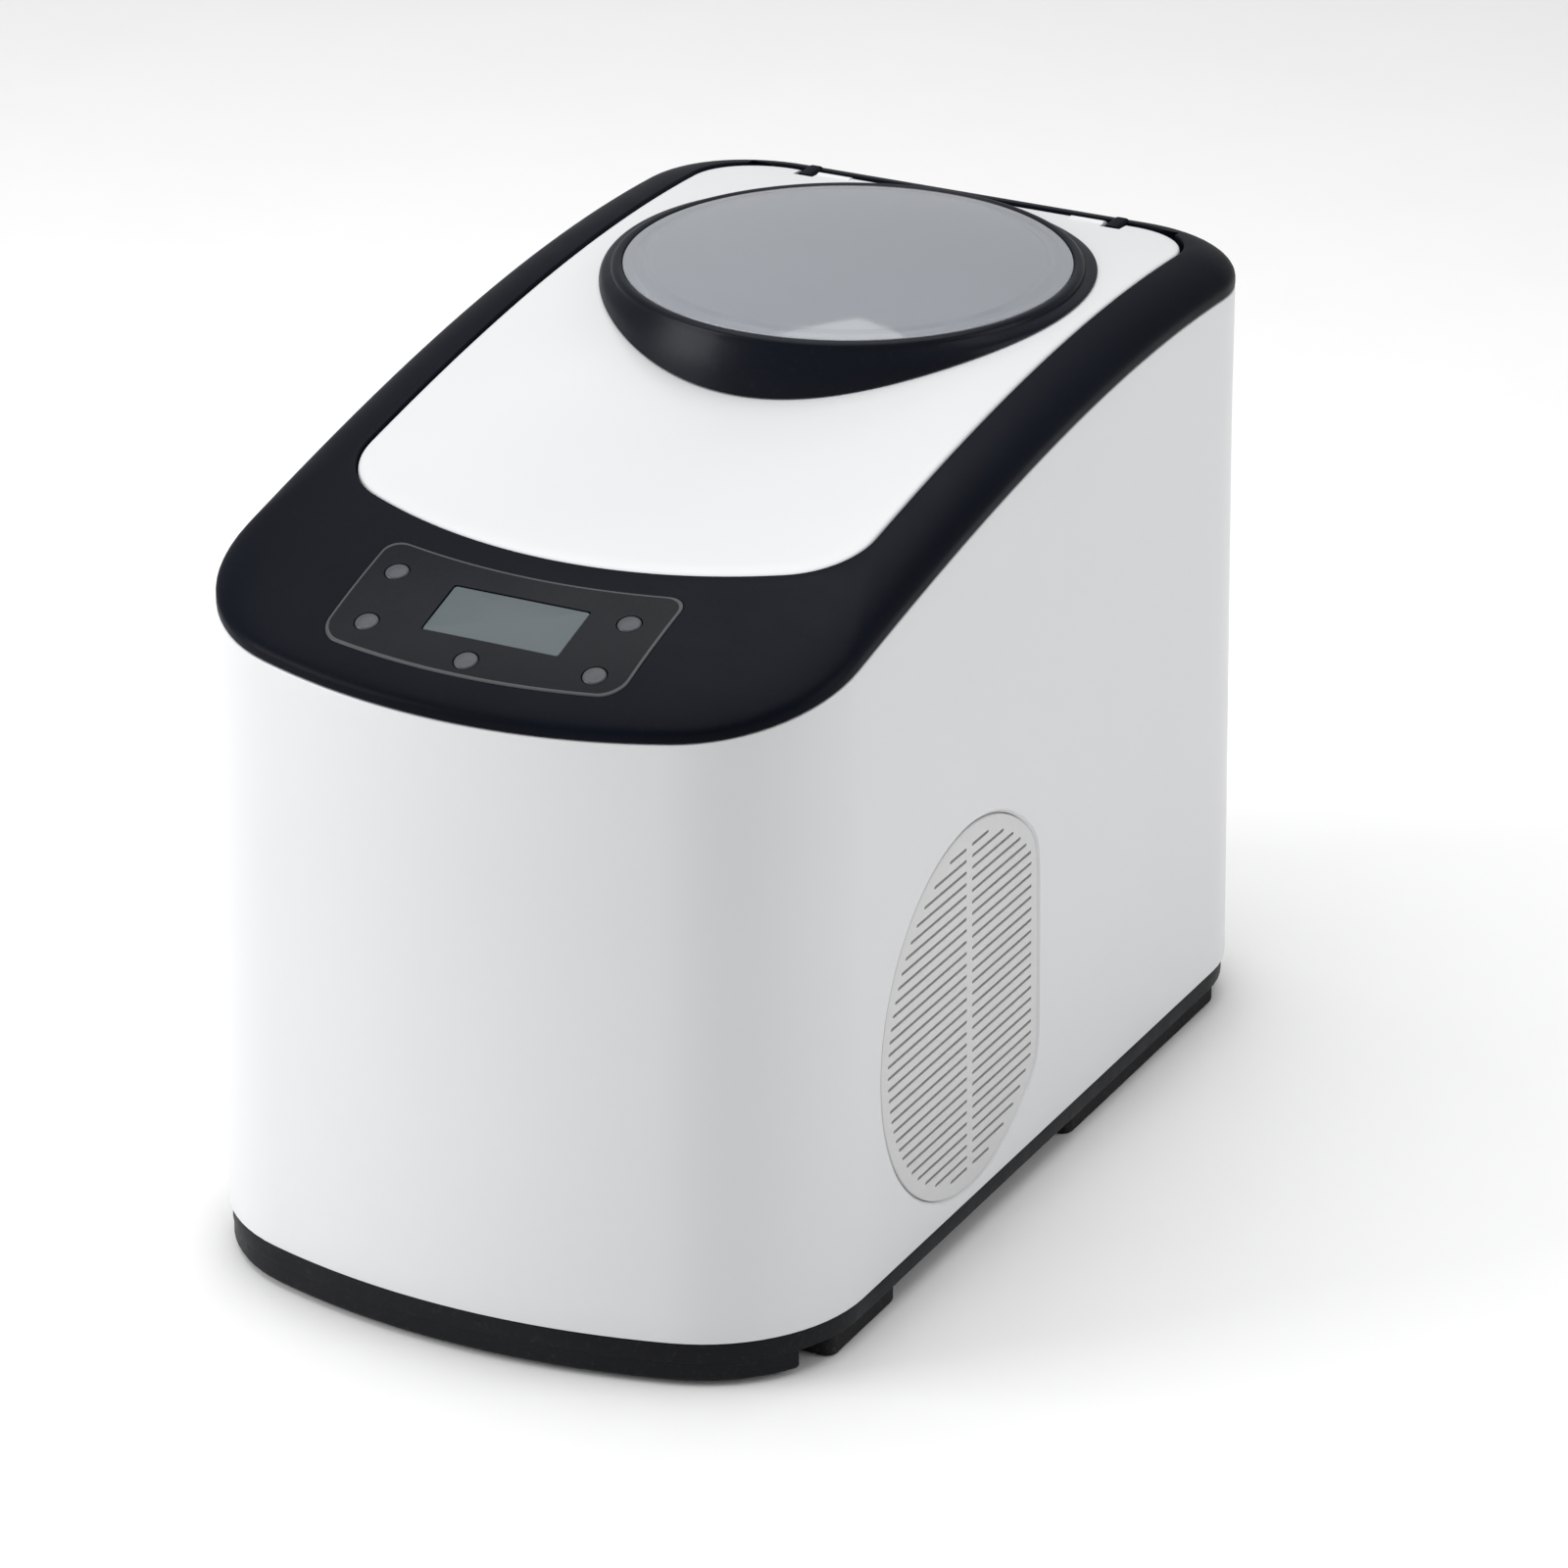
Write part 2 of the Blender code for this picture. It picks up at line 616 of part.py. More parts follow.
def make_chamber():
    half_x, half_y = CHAMBER_HALF
    top = DECK_Z - WALL - GAP
    flange = 0.008

    def section(grow, z):
        return level(rounded_rectangle(half_x + grow, half_y + grow, 0.024 + grow, CHAMBER_Y), z)
    chamber = lofted("oven_chamber", [section(SHEET, CHAMBER_FLOOR - SHEET), section(SHEET, top - SHEET),
                                      section(flange, top - SHEET), section(flange, top), section(0, top),
                                      section(0, CHAMBER_FLOOR)], steel())
    spindle_hole = cylinder("spindle_hole", 0.0075, 0.020, (0, CHAMBER_Y, CHAMBER_FLOOR), segments=16)
    sensor_hole = cylinder("sensor_hole", 0.0032, 0.020, (0.030, CHAMBER_Y - half_y, 0.120), axis="Y",
                           segments=12)
    cut(chamber, spindle_hole, sensor_hole)
    for side, word in ((-1, "left"), (1, "right")):
        lead_hole = cylinder(f"heater_hole_{word}", 0.0050, 0.020, (side * 0.030, CHAMBER_Y + half_y, 0.075),
                             axis="Y", segments=14)
        cut(chamber, lead_hole)
    turned("temperature_sensor", [(0, 0.016), (0.0020, 0.015), (0.0026, 0.012), (0.0026, -0.0005),
                                  (0.0055, -0.0005), (0.0055, -0.0030), (0.0030, -0.0030), (0.0030, -0.0150),
                                  (0, -0.0150)],
           (0.030, CHAMBER_Y - half_y - SHEET - 0.0003, 0.120), steel(), segments=14,
           turn=Matrix.Rotation(-pi / 2, 3, "X"))
    heater_x, heater_y, heater_z = 0.0755, 0.0790, 0.075
    front, back = CHAMBER_Y - heater_y, CHAMBER_Y + heater_y
    lead_end = CHAMBER_Y + half_y + 0.014
    corners = [(-0.030, lead_end, heater_z), (-0.030, back, heater_z), (-heater_x, back, heater_z),
               (-heater_x, front, heater_z), (heater_x, front, heater_z), (heater_x, back, heater_z),
               (0.030, back, heater_z), (0.030, lead_end, heater_z)]
    path = rounded_path(corners[:3], 0.0065, 3)[:-1]
    path += rounded_path(corners[1:7], 0.022, 4)[1:-1]
    path += rounded_path(corners[5:], 0.0065, 3)[1:]
    tube("heating_element", path, 0.0032, steel())
    for side, word in ((-1, "left"), (1, "right")):
        clip_spot = (side * 0.0768, CHAMBER_Y, 0.0705)
        riser_spot = (side * (half_x - GAP - 0.0006), CHAMBER_Y, 0.0755)
        clip = block(f"heater_clip_{word}", (0.0100, 0.012, 0.0010), clip_spot, steel())
        riser = block(f"clip_riser_{word}", (0.0010, 0.012, 0.0120), riser_spot)
        join(clip, riser)


# ---- pan -----------------------------------------------------------------------------------
def make_pan():
    def section(half_x, half_y, radius, z):
        return level(rounded_rectangle(half_x, half_y, radius, CHAMBER_Y), z)
    pan = lofted("bread_pan", [section(0.0540, 0.0520, 0.020, PAN_BOTTOM),
                               section(0.0565, 0.0545, 0.0225, PAN_BOTTOM + 0.003),
                               section(0.0640, 0.0620, 0.024, PAN_RIM - 0.0035),
                               section(0.0660, 0.0640, 0.024, PAN_RIM - 0.0030),
                               section(0.0660, 0.0640, 0.024, PAN_RIM - 0.0005),
                               section(0.0645, 0.0625, 0.024, PAN_RIM),
                               section(0.0626, 0.0606, 0.024, PAN_RIM),
                               section(0.0550, 0.0530, 0.022, PAN_BOTTOM + 0.005),
                               section(0.0530, 0.0510, 0.019, PAN_BOTTOM + 0.0016)], coated_pan())
    for side, word in ((-1, "left"), (1, "right")):
        ear = block(f"pan_ear_{word}", (0.0025, 0.014, 0.016), (side * 0.0665, CHAMBER_Y, PIVOT_Z - 0.0035))
        add_bevel(ear, 0.001)
        hole = cylinder(f"ear_hole_{word}", 0.0020, 0.010, (side * 0.0665, CHAMBER_Y, PIVOT_Z), axis="X",
                        segments=16)
        join(pan, ear)
        cut(pan, hole)
    shaft_hole = cylinder("pan_shaft_hole", 0.0052, 0.030, (0, CHAMBER_Y, PAN_BOTTOM), segments=24)
    cut(pan, shaft_hole)
    axis = (0, CHAMBER_Y, 0)
    base = PAN_BOTTOM - GAP
    collar = turned("pan_collar", [(0.0290, base), (0.0290, 0.0520), (0.0265, 0.0520), (0.0265, base)],
                    axis, aluminium(), segments=28, ring=True)
    for side, word in ((-1, "front"), (1, "back")):
        lug = block(f"pan_lug_{word}", (0.0070, 0.0060, 0.0040), (0, CHAMBER_Y + side * 0.0303, 0.0542))
        join(collar, lug)
    arm, tip = 0.050, 0.052
    corners = [(-0.0635, 0, 0), (-0.0725, 0, 0), (-tip, -arm, 0),
               (tip, -arm, 0), (0.0725, 0, 0), (0.0635, 0, 0)]
    handle = tube("pan_handle", rounded_path(corners, 0.0035, 3), 0.0016, steel())
    handle.location = (0, CHAMBER_Y, PIVOT_Z)


def make_pan_mount():
    axis = (0, CHAMBER_Y, 0)
    floor = CHAMBER_FLOOR + GAP
    mount = turned("pan_mount", [(0.0370, 0.0640), (0.0370, floor + 0.002), (0.0440, floor + 0.002),
                                 (0.0440, floor), (0.0340, floor), (0.0340, 0.0572), (0.0296, 0.0572),
                                 (0.0296, 0.0640)],
                   axis, aluminium(), segments=28, ring=True)
    release = radians(20)
    for side, word in ((-1, "front"), (1, "back")):
        spot = (-side * 0.031 * sin(release), CHAMBER_Y + side * 0.031 * cos(release), 0.0620)
        slot = block(f"bayonet_slot_{word}", (0.0084, 0.0072, 0.0160), spot,
                     turn=Matrix.Rotation(release, 3, "Z"))
        cut(mount, slot)


# ---- kneading drive ------------------------------------------------------------------------
def make_kneading_drive():
    axis = (0, CHAMBER_Y, 0)
    turned("drive_spindle", [(0, 0.0552), (0.0040, 0.0552), (0.0040, 0.0180), (0, 0.0180)], axis, steel(),
           segments=24)
    turned("bearing_housing", [(0.0070, 0.0490), (0.0070, 0.0447), (0.0200, 0.0447), (0.0200, 0.0425),
                               (0.0120, 0.0425), (0.0120, 0.0345), (0.0043, 0.0345), (0.0043, 0.0490)],
           axis, aluminium(), segments=20, ring=True)
    rim, web = LARGE_PULLEY_R, 0.0055
    turned("large_pulley", [(rim, BELT_Z + 0.0045), (rim, BELT_Z - 0.0045), (rim - 0.003, BELT_Z - 0.0045),
                            (rim - 0.003, BELT_Z - web / 2), (0.0043, BELT_Z - web / 2),
                            (0.0043, BELT_Z + 0.0058), (0.0100, BELT_Z + 0.0058), (0.0100, BELT_Z + web / 2),
                            (rim - 0.003, BELT_Z + web / 2), (rim - 0.003, BELT_Z + 0.0045)],
           axis, dark_plastic(), segments=28, ring=True)
    dog = turned("drive_dog", [(0.0100, 0.0545), (0.0100, 0.0495), (0.0043, 0.0495), (0.0043, 0.0545)],
                 axis, steel(), segments=24, ring=True)
    cup = [(0.0090, 0.0655), (0.0090, 0.0605), (0.0043, 0.0605), (0.0043, 0.0655)]
    coupling = turned("pan_coupling", cup, axis, steel(), segments=24, ring=True)
    for side, word in ((-1, "left"), (1, "right")):
        prong = block(f"dog_prong_{word}", (0.0050, 0.0040, 0.0070), (side * 0.0072, CHAMBER_Y, 0.0560))
        join(dog, prong)
        wing_centre = (0, CHAMBER_Y + side * 0.0106, 0.0588)
        wing = block(f"coupling_wing_{word}", (0.0040, 0.0108, 0.0060), wing_centre)
        join(coupling, wing)
    turned("pan_shaft", [(0, 0.0900), (0.0030, 0.0900), (0.0040, 0.0890), (0.0040, 0.0600), (0, 0.0600)],
           axis, steel(), segments=24)
    blade = turned("kneading_blade", [(0.0090, 0.0860), (0.0110, 0.0700), (0.0043, 0.0700), (0.0043, 0.0860)],
                   axis, coated_pan(), segments=24, ring=True)
    paddle = lofted("paddle", [[(0.0075, y, z) for y, z in ((-0.0035, 0.0705), (0.0035, 0.0705),
                                                           (0.0030, 0.0850), (-0.0030, 0.0850))],
                               [(0.0260, y, z) for y, z in ((-0.0025, 0.0715), (0.0025, 0.0715),
                                                           (0.0070, 0.1030), (0.0030, 0.1030))],
                               [(0.0360, y, z) for y, z in ((-0.0015, 0.0740), (0.0015, 0.0740),
                                                           (0.0060, 0.0930), (0.0035, 0.0930))]])
    paddle.location = axis
    join(blade, paddle)


# ---- motor and belt ------------------------------------------------------------------------
def make_motor():
    axis = (0, MOTOR_Y, 0)
    low, high = 0.0620, 0.0920
    stack = block("motor_stator", (0.084, 0.084, high - low), (0, MOTOR_Y, (low + high) / 2), steel(),
                  bevel=0.006)
    bore = cylinder("stator_bore", 0.0256, 0.060, (0, MOTOR_Y, (low + high) / 2), segments=32)
    cut(stack, bore)
    turned("motor_rotor", [(0, 0.1335), (0.0040, 0.1335), (0.0040, high), (0.0250, high), (0.0250, low),
                           (0.0040, low), (0.0040, 0.0200), (0, 0.0200)], axis, steel(), segments=20)
    for word, inner, outer in (("top", high + GAP, high + 0.0130), ("bottom", low - GAP, low - 0.0130)):
        near, far = max(inner, outer), min(inner, outer)
        turned(f"motor_winding_{word}", [(0.0330, near), (0.0350, near - 0.003), (0.0350, far + 0.003),
                                         (0.0330, far), (0.0285, far), (0.0268, far + 0.003),
                                         (0.0268, near - 0.003), (0.0285, near)],
               axis, copper(), segments=20, ring=True)
    turned("motor_top_bell", [(0.0075, 0.1140), (0.0340, 0.1100), (0.0400, 0.1040), (0.0400, high + GAP),
                              (0.0378, high + GAP), (0.0378, 0.1030), (0.0330, 0.1078), (0.0075, 0.1100),
                              (0.0043, 0.1060), (0.0043, 0.1140)], axis, aluminium(), segments=20, ring=True)
    turned("motor_bottom_bell", [(0.0378, low - GAP), (0.0400, low - GAP), (0.0400, 0.0475), (0.0340, 0.0430),
                                 (0.0043, 0.0430), (0.0043, 0.0470), (0.0330, 0.0455), (0.0378, 0.0490)],
           axis, aluminium(), segments=20, ring=True)
    turned("motor_pulley", [(0.0103, BELT_Z + 0.0058), (0.0103, BELT_Z + 0.0044),
                            (MOTOR_PULLEY_R, BELT_Z + 0.0044), (MOTOR_PULLEY_R, BELT_Z - 0.0044),
                            (0.0103, BELT_Z - 0.0044),
                            (0.0103, BELT_Z - 0.0058), (0.0043, BELT_Z - 0.0058), (0.0043, BELT_Z + 0.0058)],
           axis, aluminium(), segments=16, ring=True)
    fan = turned("motor_fan", [(0.0090, 0.1310), (0.0090, 0.1190), (0.0043, 0.1190), (0.0043, 0.1310)],
                 axis, dark_plastic(), segments=16, ring=True)
    blades = 7
    for i in range(blades):
        angle = 2 * pi * i / blades
        pitch = Matrix.Rotation(angle, 3, "Z") @ Matrix.Rotation(radians(32), 3, "X")
        spot = (0.0225 * cos(angle), MOTOR_Y + 0.0225 * sin(angle), 0.1250)
        join(fan, block(f"fan_blade_{i}", (0.0290, 0.0120, 0.0016), spot, turn=pitch))
    plate_z = 0.0405
    bracket = block("motor_bracket", (0.104, 0.104, 0.0030), (0, MOTOR_Y, plate_z), steel())
    for x in (-0.046, 0.046):
        for y in (-0.046, 0.046):
            foot_z = TRAY_FLOOR + GAP
            leg = cylinder(f"bracket_leg_{x}_{y}", 0.0045, plate_z - foot_z,
                           (x, MOTOR_Y + y, (plate_z + foot_z) / 2), segments=16)
            join(bracket, leg)
    passage = cylinder("bracket_hole", 0.0135, 0.020, (0, MOTOR_Y, plate_z), segments=24)
    cut(bracket, passage)


def belt_path(offset):
    """The loop round both pulleys, offset outwards from their faces."""
    large, small = LARGE_PULLEY_R + offset, MOTOR_PULLEY_R + offset
    lean = asin((large - small) / (CHAMBER_Y - MOTOR_Y))
    path = []
    for angle in np.linspace(-lean, pi + lean, 21):
        path.append((large * cos(angle), CHAMBER_Y + large * sin(angle)))
    for angle in np.linspace(pi + lean, 2 * pi - lean, 9):
        path.append((small * cos(angle), MOTOR_Y + small * sin(angle)))
    return path


def make_belt():
    half = 0.0038
    inner, outer = belt_path(0.0005), belt_path(0.0019)
    lofted("drive_belt", [level(inner, BELT_Z - half), level(outer, BELT_Z - half),
                          level(outer, BELT_Z + half), level(inner, BELT_Z + half)], rubber(), ring=True)


# ---- electrics -----------------------------------------------------------------------------
def make_electrics():
    board = block("power_board", (0.096, 0.050, 0.0016), (0, -0.150, 0.0220), circuit_board())
    parts = (
        ("transformer", (0.026, 0.022, 0.020), (-0.030, -0.150, 0.0320)),
        ("relay", (0.016, 0.020, 0.015), (0.004, -0.148, 0.0295)),
        ("fuse_holder", (0.008, 0.022, 0.009), (0.024, -0.150, 0.0265)),
        ("connector", (0.010, 0.030, 0.010), (0.039, -0.150, 0.0270)),
    )
    for name, size, centre in parts:
        join(board, block(name, size, centre))
    for x in (-0.044, 0.044):
        for y in (-0.171, -0.129):
            foot_z = TRAY_FLOOR + GAP
            join(board, cylinder(f"standoff_{x}_{y}", 0.0030, 0.0220 - foot_z,
                                 (x, y, (0.0220 + foot_z) / 2), segments=12))
    can = [(0, 0.0600), (0.0120, 0.0600), (0.0135, 0.0585), (0.0135, 0.0130), (0, 0.0130)]
    turned("motor_capacitor", can, (0.080, -0.125, 0), white_plastic(), segments=20)
    x, z = INLET_X, INLET_Z
    back = BODY["back"] + draft_at(z + 0.011)
    inlet = block("mains_inlet", (0.0300, 0.0240, 0.0220), (x, back - 0.0120, z), dark_plastic())
    flange = block("inlet_flange", (0.0460, 0.0024, 0.0260), (x, back - WALL - GAP - 0.0012, z))
    join(inlet, flange)
    socket = block("inlet_socket", (0.0240, 0.0360, 0.0170), (x, back, z))
    cut(inlet, socket)
    pins = {"live": (-0.007, -0.0022), "neutral": (0.007, -0.0022), "earth": (0.0, 0.0018)}
    for name, offset in pins.items():
        pin = block(f"pin_{name}", (0.0020, 0.0160, 0.0040), (x + offset[0], back - 0.0120, z + offset[1]))
        join(inlet, pin)


# ---- lid -----------------------------------------------------------------------------------
def make_lid():
    centre = (0.0, WINDOW_Y)
    hole = 0.0836
    hole_form = 0.0790
    skin = 0.0022
    skirt = DECK_Z + 0.0080
    edge = plan_outline(LID, 0.0016)
    rim = circle_towards(edge, centre, hole_form)
    inner_edge = plan_outline(LID, 0.0040)
    inner_rim = circle_towards(inner_edge, centre, hole_form)
    loops = [level(plan_outline(LID, 0.0085), skirt), over_lid(plan_outline(LID), -0.0018),
             over_lid(plan_outline(LID, 0.0005), -0.0006)]
    for fraction in (0, 0.25, 0.5, 0.75, 1):
        loops.append(over_lid(edge + (rim - edge) * fraction))
    for fraction in (1, 0.5, 0):
        loops.append(over_lid(inner_edge + (inner_rim - inner_edge) * fraction, -skin))
    loops.append(level(plan_outline(LID, 0.0107), skirt))
    lid = lofted("lid_shell", loops, white_plastic(), ring=True, smooth=30)
    cut(lid, cylinder("window_hole", hole, 0.060, (0, WINDOW_Y, 0.300), segments=48))
    for side, word in ((-1, "left"), (1, "right")):
        barrel = cylinder(f"lid_barrel_{word}", 0.0024, 0.0140, (side * 0.0545, HINGE_Y, HINGE_Z), axis="X",
                          segments=24)
        notch = block(f"lid_notch_{word}", (0.0084, 0.0110, 0.0120),
                      (side * HINGE_LUG_X, 0.1930, HINGE_Z + 0.0010))
        join(lid, barrel)
        cut(lid, notch, hinge_bore(side, word, "barrel"))
        cylinder(f"hinge_pin_{word}", 0.0010, 0.0200, (side * 0.0590, HINGE_Y, HINGE_Z), steel(), axis="X",
                 segments=16)

    around = np.array([(cos(a), sin(a)) for a in np.linspace(0, 2 * pi, 40, endpoint=False)])

    def circle(radius):
        return around * radius + np.array(centre)
    ring_lift = 0.0007
    top = RING_TOP
    ring_profile = ((RING_RADIUS, top - 0.0022), (RING_RADIUS - 0.0006, top - 0.0012),
                    (RING_RADIUS - 0.0022, top - 0.0003),
                    (0.0862, top), (0.0855, top - 0.0004), (0.0853, top - 0.0014), (0.0813, top - 0.0014),
                    (0.0813, top - 0.0045), (0.0765, top - 0.0045), (0.0765, 0.2900), (0.0828, 0.2900))
    ring_loops = [over_lid(circle(0.0940), ring_lift)]
    ring_loops += [level(circle(radius), z) for radius, z in ring_profile]
    ring_loops.append(over_lid(circle(0.0828), ring_lift))
    lofted("window_ring", ring_loops, black_plastic(), ring=True)

    edge_r, flange_low, edge_high, crown, glass = 0.0850, top - 0.0011, top - 0.0002, 0.0092, 0.0030
    seat_r, seat_low, seat_inner = 0.0810, top - 0.0042, 0.0768
    dome = (edge_r ** 2 + crown ** 2) / (2 * crown)
    arc_top = [(dome * sin(a), edge_high + crown - dome * (1 - cos(a)))
               for a in np.linspace(0, asin(edge_r / dome), 7)]
    arc_under = [(r, edge_high + crown - glass - (dome - sqrt(dome ** 2 - r * r)))
                 for r in np.linspace(seat_inner - 0.002, 0, 4)]
    rim_profile = [(edge_r, flange_low), (seat_r, flange_low), (seat_r, seat_low), (seat_inner, seat_low)]
    turned("window_glass", arc_top + rim_profile + arc_under, (0, WINDOW_Y, 0), clear_glass(), segments=40)

    plate_low, plate_high = DECK_Z + 0.0050, DECK_Z + 0.0075
    liner = lofted("lid_liner", [level(plan_outline(LID, 0.0095), plate_low),
                                 level(plan_outline(LID, 0.0088), plate_high)], aluminium())
    cut(liner, cylinder("liner_hole", 0.0560, 0.020, (0, CHAMBER_Y, plate_low), segments=40))
    turned("inner_glass", [(0, plate_high + 0.0033), (0.0610, plate_high + 0.0033),
                           (0.0610, plate_high + GAP), (0, plate_high + GAP)],
           (0, CHAMBER_Y, 0), clear_glass(), segments=32)

    def seal(half_grow, z):
        return level(rounded_rectangle(CHAMBER_HALF[0] + half_grow, CHAMBER_HALF[1] + half_grow,
                                       0.024 + half_grow, CHAMBER_Y), z)
    low, high = DECK_Z + GAP, plate_low - GAP
    lofted("lid_gasket", [seal(0.0070, low + 0.001), seal(0.0070, high), seal(0.0020, high),
                          seal(0.0020, low + 0.001), seal(0.0035, low), seal(0.0055, low)],
           silicone(), ring=True)


clear_scene()
PARTS = make_collection("bread_machine")
CUTTERS = make_collection("cutters")
make_base()
make_housing()
make_collar()
make_panel()
make_deck()
make_chamber()
make_pan()
make_pan_mount()
make_kneading_drive()
make_motor()
make_belt()
make_electrics()
make_lid()
bpy.context.view_layer.update()
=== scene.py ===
import json
import bpy
import numpy as np
from mathutils import Matrix, Vector


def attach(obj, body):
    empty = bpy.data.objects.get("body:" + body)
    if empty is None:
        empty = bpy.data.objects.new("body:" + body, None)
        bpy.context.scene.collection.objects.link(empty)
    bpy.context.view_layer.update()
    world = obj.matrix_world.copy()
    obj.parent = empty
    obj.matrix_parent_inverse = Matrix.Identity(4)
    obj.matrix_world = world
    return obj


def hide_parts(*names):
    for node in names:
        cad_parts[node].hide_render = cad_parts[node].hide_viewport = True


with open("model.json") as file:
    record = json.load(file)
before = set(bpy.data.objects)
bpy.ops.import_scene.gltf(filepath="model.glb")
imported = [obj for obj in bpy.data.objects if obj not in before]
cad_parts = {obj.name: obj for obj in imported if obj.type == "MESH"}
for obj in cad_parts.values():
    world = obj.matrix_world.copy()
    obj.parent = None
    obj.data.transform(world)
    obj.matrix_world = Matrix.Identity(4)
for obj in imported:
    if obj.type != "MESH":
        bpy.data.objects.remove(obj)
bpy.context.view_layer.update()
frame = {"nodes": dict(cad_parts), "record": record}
nodes = frame["nodes"]
scene = bpy.context.scene

# sizes in metres, +Z up, the control panel faces -Y
body = dict(half=0.125, front=-0.214, back=0.214, arc=0.279, rFront=0.062, rBack=0.050)
opening = dict(half=0.1035, front=-0.135, back=0.1977, arc=0.209, rFront=0.034, rBack=0.030)
lidPlan = dict(half=0.1028, front=-0.1343, back=0.1955, arc=0.2083, rFront=0.0333, rBack=0.030)
shell = dict(gap=0.0003, wall=0.0025, seam=0.0177, draft=0.003, draftTop=0.244, lip=0.003, shoulder=0.0105)
hinge = dict(y=0.1925, z=0.3086, relief=0.0033, reliefX=0.0865, lugX=0.066, lugY=0.19415,
             lug=(0.0062, 0.0107, 0.0048), notch=(0.0084, 0.0110, 0.0120), notchY=0.1930, barrelX=0.0545)
window = dict(y=0.096, top=0.3162, radius=0.0895, hole=0.0836)
chamber = dict(y=0.090, deck=0.2455)


camera = dict(place=(1.1763, -2.2457, 1.2711), target=(0.0222, 0.0, 0.1426), lens=169.5)
lamps = dict(
    top=dict(place=(-0.2, 0.1, 1.8), target=(0, 0, 0.25), size=(2.0, 2.0), power=27),
    left=dict(place=(-1.9, -1.5, 0.9), target=(0, 0, 0.12), size=(1.2, 1.6), power=37),
    right=dict(place=(2.2, 0.5, 0.8), target=(0, 0, 0.12), size=(1.2, 1.6), power=12),
)


def aim(thing, place, target):
    thing.location = place
    thing.rotation_euler = (Vector(target) - Vector(place)).to_track_quat("-Z", "Y").to_euler()


def makeStudio():
    lensData = bpy.data.cameras.new("camera")
    lensData.lens = camera["lens"]
    lensData.sensor_width = 36
    lensData.clip_end = 30
    cameraObject = bpy.data.objects.new("camera", lensData)
    scene.collection.objects.link(cameraObject)
    aim(cameraObject, camera["place"], camera["target"])
    scene.camera = cameraObject
    for name, lamp in lamps.items():
        lampData = bpy.data.lights.new(name, "AREA")
        lampData.shape = "RECTANGLE"
        lampData.size, lampData.size_y = lamp["size"]
        lampData.energy = lamp["power"]
        lampObject = bpy.data.objects.new(name + "_lamp", lampData)
        scene.collection.objects.link(lampObject)
        aim(lampObject, lamp["place"], lamp["target"])
    world = bpy.data.worlds.new("studio")
    world.use_nodes = True
    world.node_tree.nodes["Background"].inputs["Color"].default_value = (1, 1, 1, 1)
    world.node_tree.nodes["Background"].inputs["Strength"].default_value = 0.43
    scene.world = world
    scene.view_settings.view_transform = "Standard"


def addPiece(name, points, faces, finish, ridesOn, cadNodes, sharp=35.0):
    # signed volume = sum of corner products / 6; a negative one means the faces look inwards
    points = np.asarray(points, float)
    fans = [np.stack([f[:, 0], f[:, k], f[:, k + 1]], 1) for f in faces for k in range(1, f.shape[1] - 1)]
    tri = points[np.concatenate(fans)]
    if np.einsum("ij,ij->i", tri[:, 0], np.cross(tri[:, 1], tri[:, 2])).sum() < 0:
        faces = [f[:, ::-1] for f in faces]
    mesh = bpy.data.meshes.new(name)
    mesh.from_pydata(points.tolist(), [], [row for f in faces for row in f.tolist()])
    mesh.validate()
    mesh.materials.append(finish)
    mesh.shade_smooth()
    mesh.set_sharp_from_angle(angle=np.radians(sharp))
    piece = bpy.data.objects.new(name, mesh)
    scene.collection.objects.link(piece)
    if ridesOn:
        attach(piece, ridesOn)
        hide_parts(*cadNodes)
    return piece


def formOf(points, faces):
    # a helper shape for carve: it rides on nothing and is removed after use
    return addPiece("form", points, faces, None, None, None)


def skin(grid, wrap=False, capFirst=False, capLast=False):
    # grid[row, column] of points, closed along its columns; wrap also closes the rows, a cap is a fan
    rows, columns = grid.shape[:2]
    number = np.arange(rows * columns).reshape(rows, columns)
    across = np.roll(number, -1, 1)
    ahead = slice(None) if wrap else slice(0, rows - 1)
    up = np.roll(number, -1, 0)
    upAcross = np.roll(across, -1, 0)
    quads = np.stack([number[ahead], across[ahead], upAcross[ahead], up[ahead]], -1).reshape(-1, 4)
    points = grid.reshape(-1, 3)
    faces = [quads]
    for wanted, row, order in ((capFirst, 0, 1), (capLast, rows - 1, -1)):
        if wanted:
            middle = np.full(columns, len(points))
            points = np.vstack([points, grid[row].mean(0)])
            fan = np.stack([middle, across[row], number[row]], 1)
            faces.append(fan[:, ::order])
    return points, faces


def carve(piece, operation, *others):
    # the boolean's result becomes the piece's mesh, and the helpers are removed
    for other in others:
        step = piece.modifiers.new("carve", "BOOLEAN")
        step.operation = operation
        step.solver = "EXACT"
        step.object = other
    settle(piece)
    for other in others:
        bpy.data.objects.remove(other, do_unlink=True)


def settle(piece, sharp=35.0):
    bpy.context.view_layer.update()
    finished = bpy.data.meshes.new_from_object(piece.evaluated_get(bpy.context.evaluated_depsgraph_get()))
    piece.modifiers.clear()
    piece.data = finished
    finished.shade_smooth()
    finished.set_sharp_from_angle(angle=np.radians(sharp))


def placed(points, place, turn=None):
    points = np.asarray(points, float)
    if turn is not None:
        points = points @ np.array(turn).T
    return points + np.array(place)


def frontArc(plan, x):
    return plan["front"] + plan["arc"] - np.sqrt(plan["arc"] ** 2 - x * x)


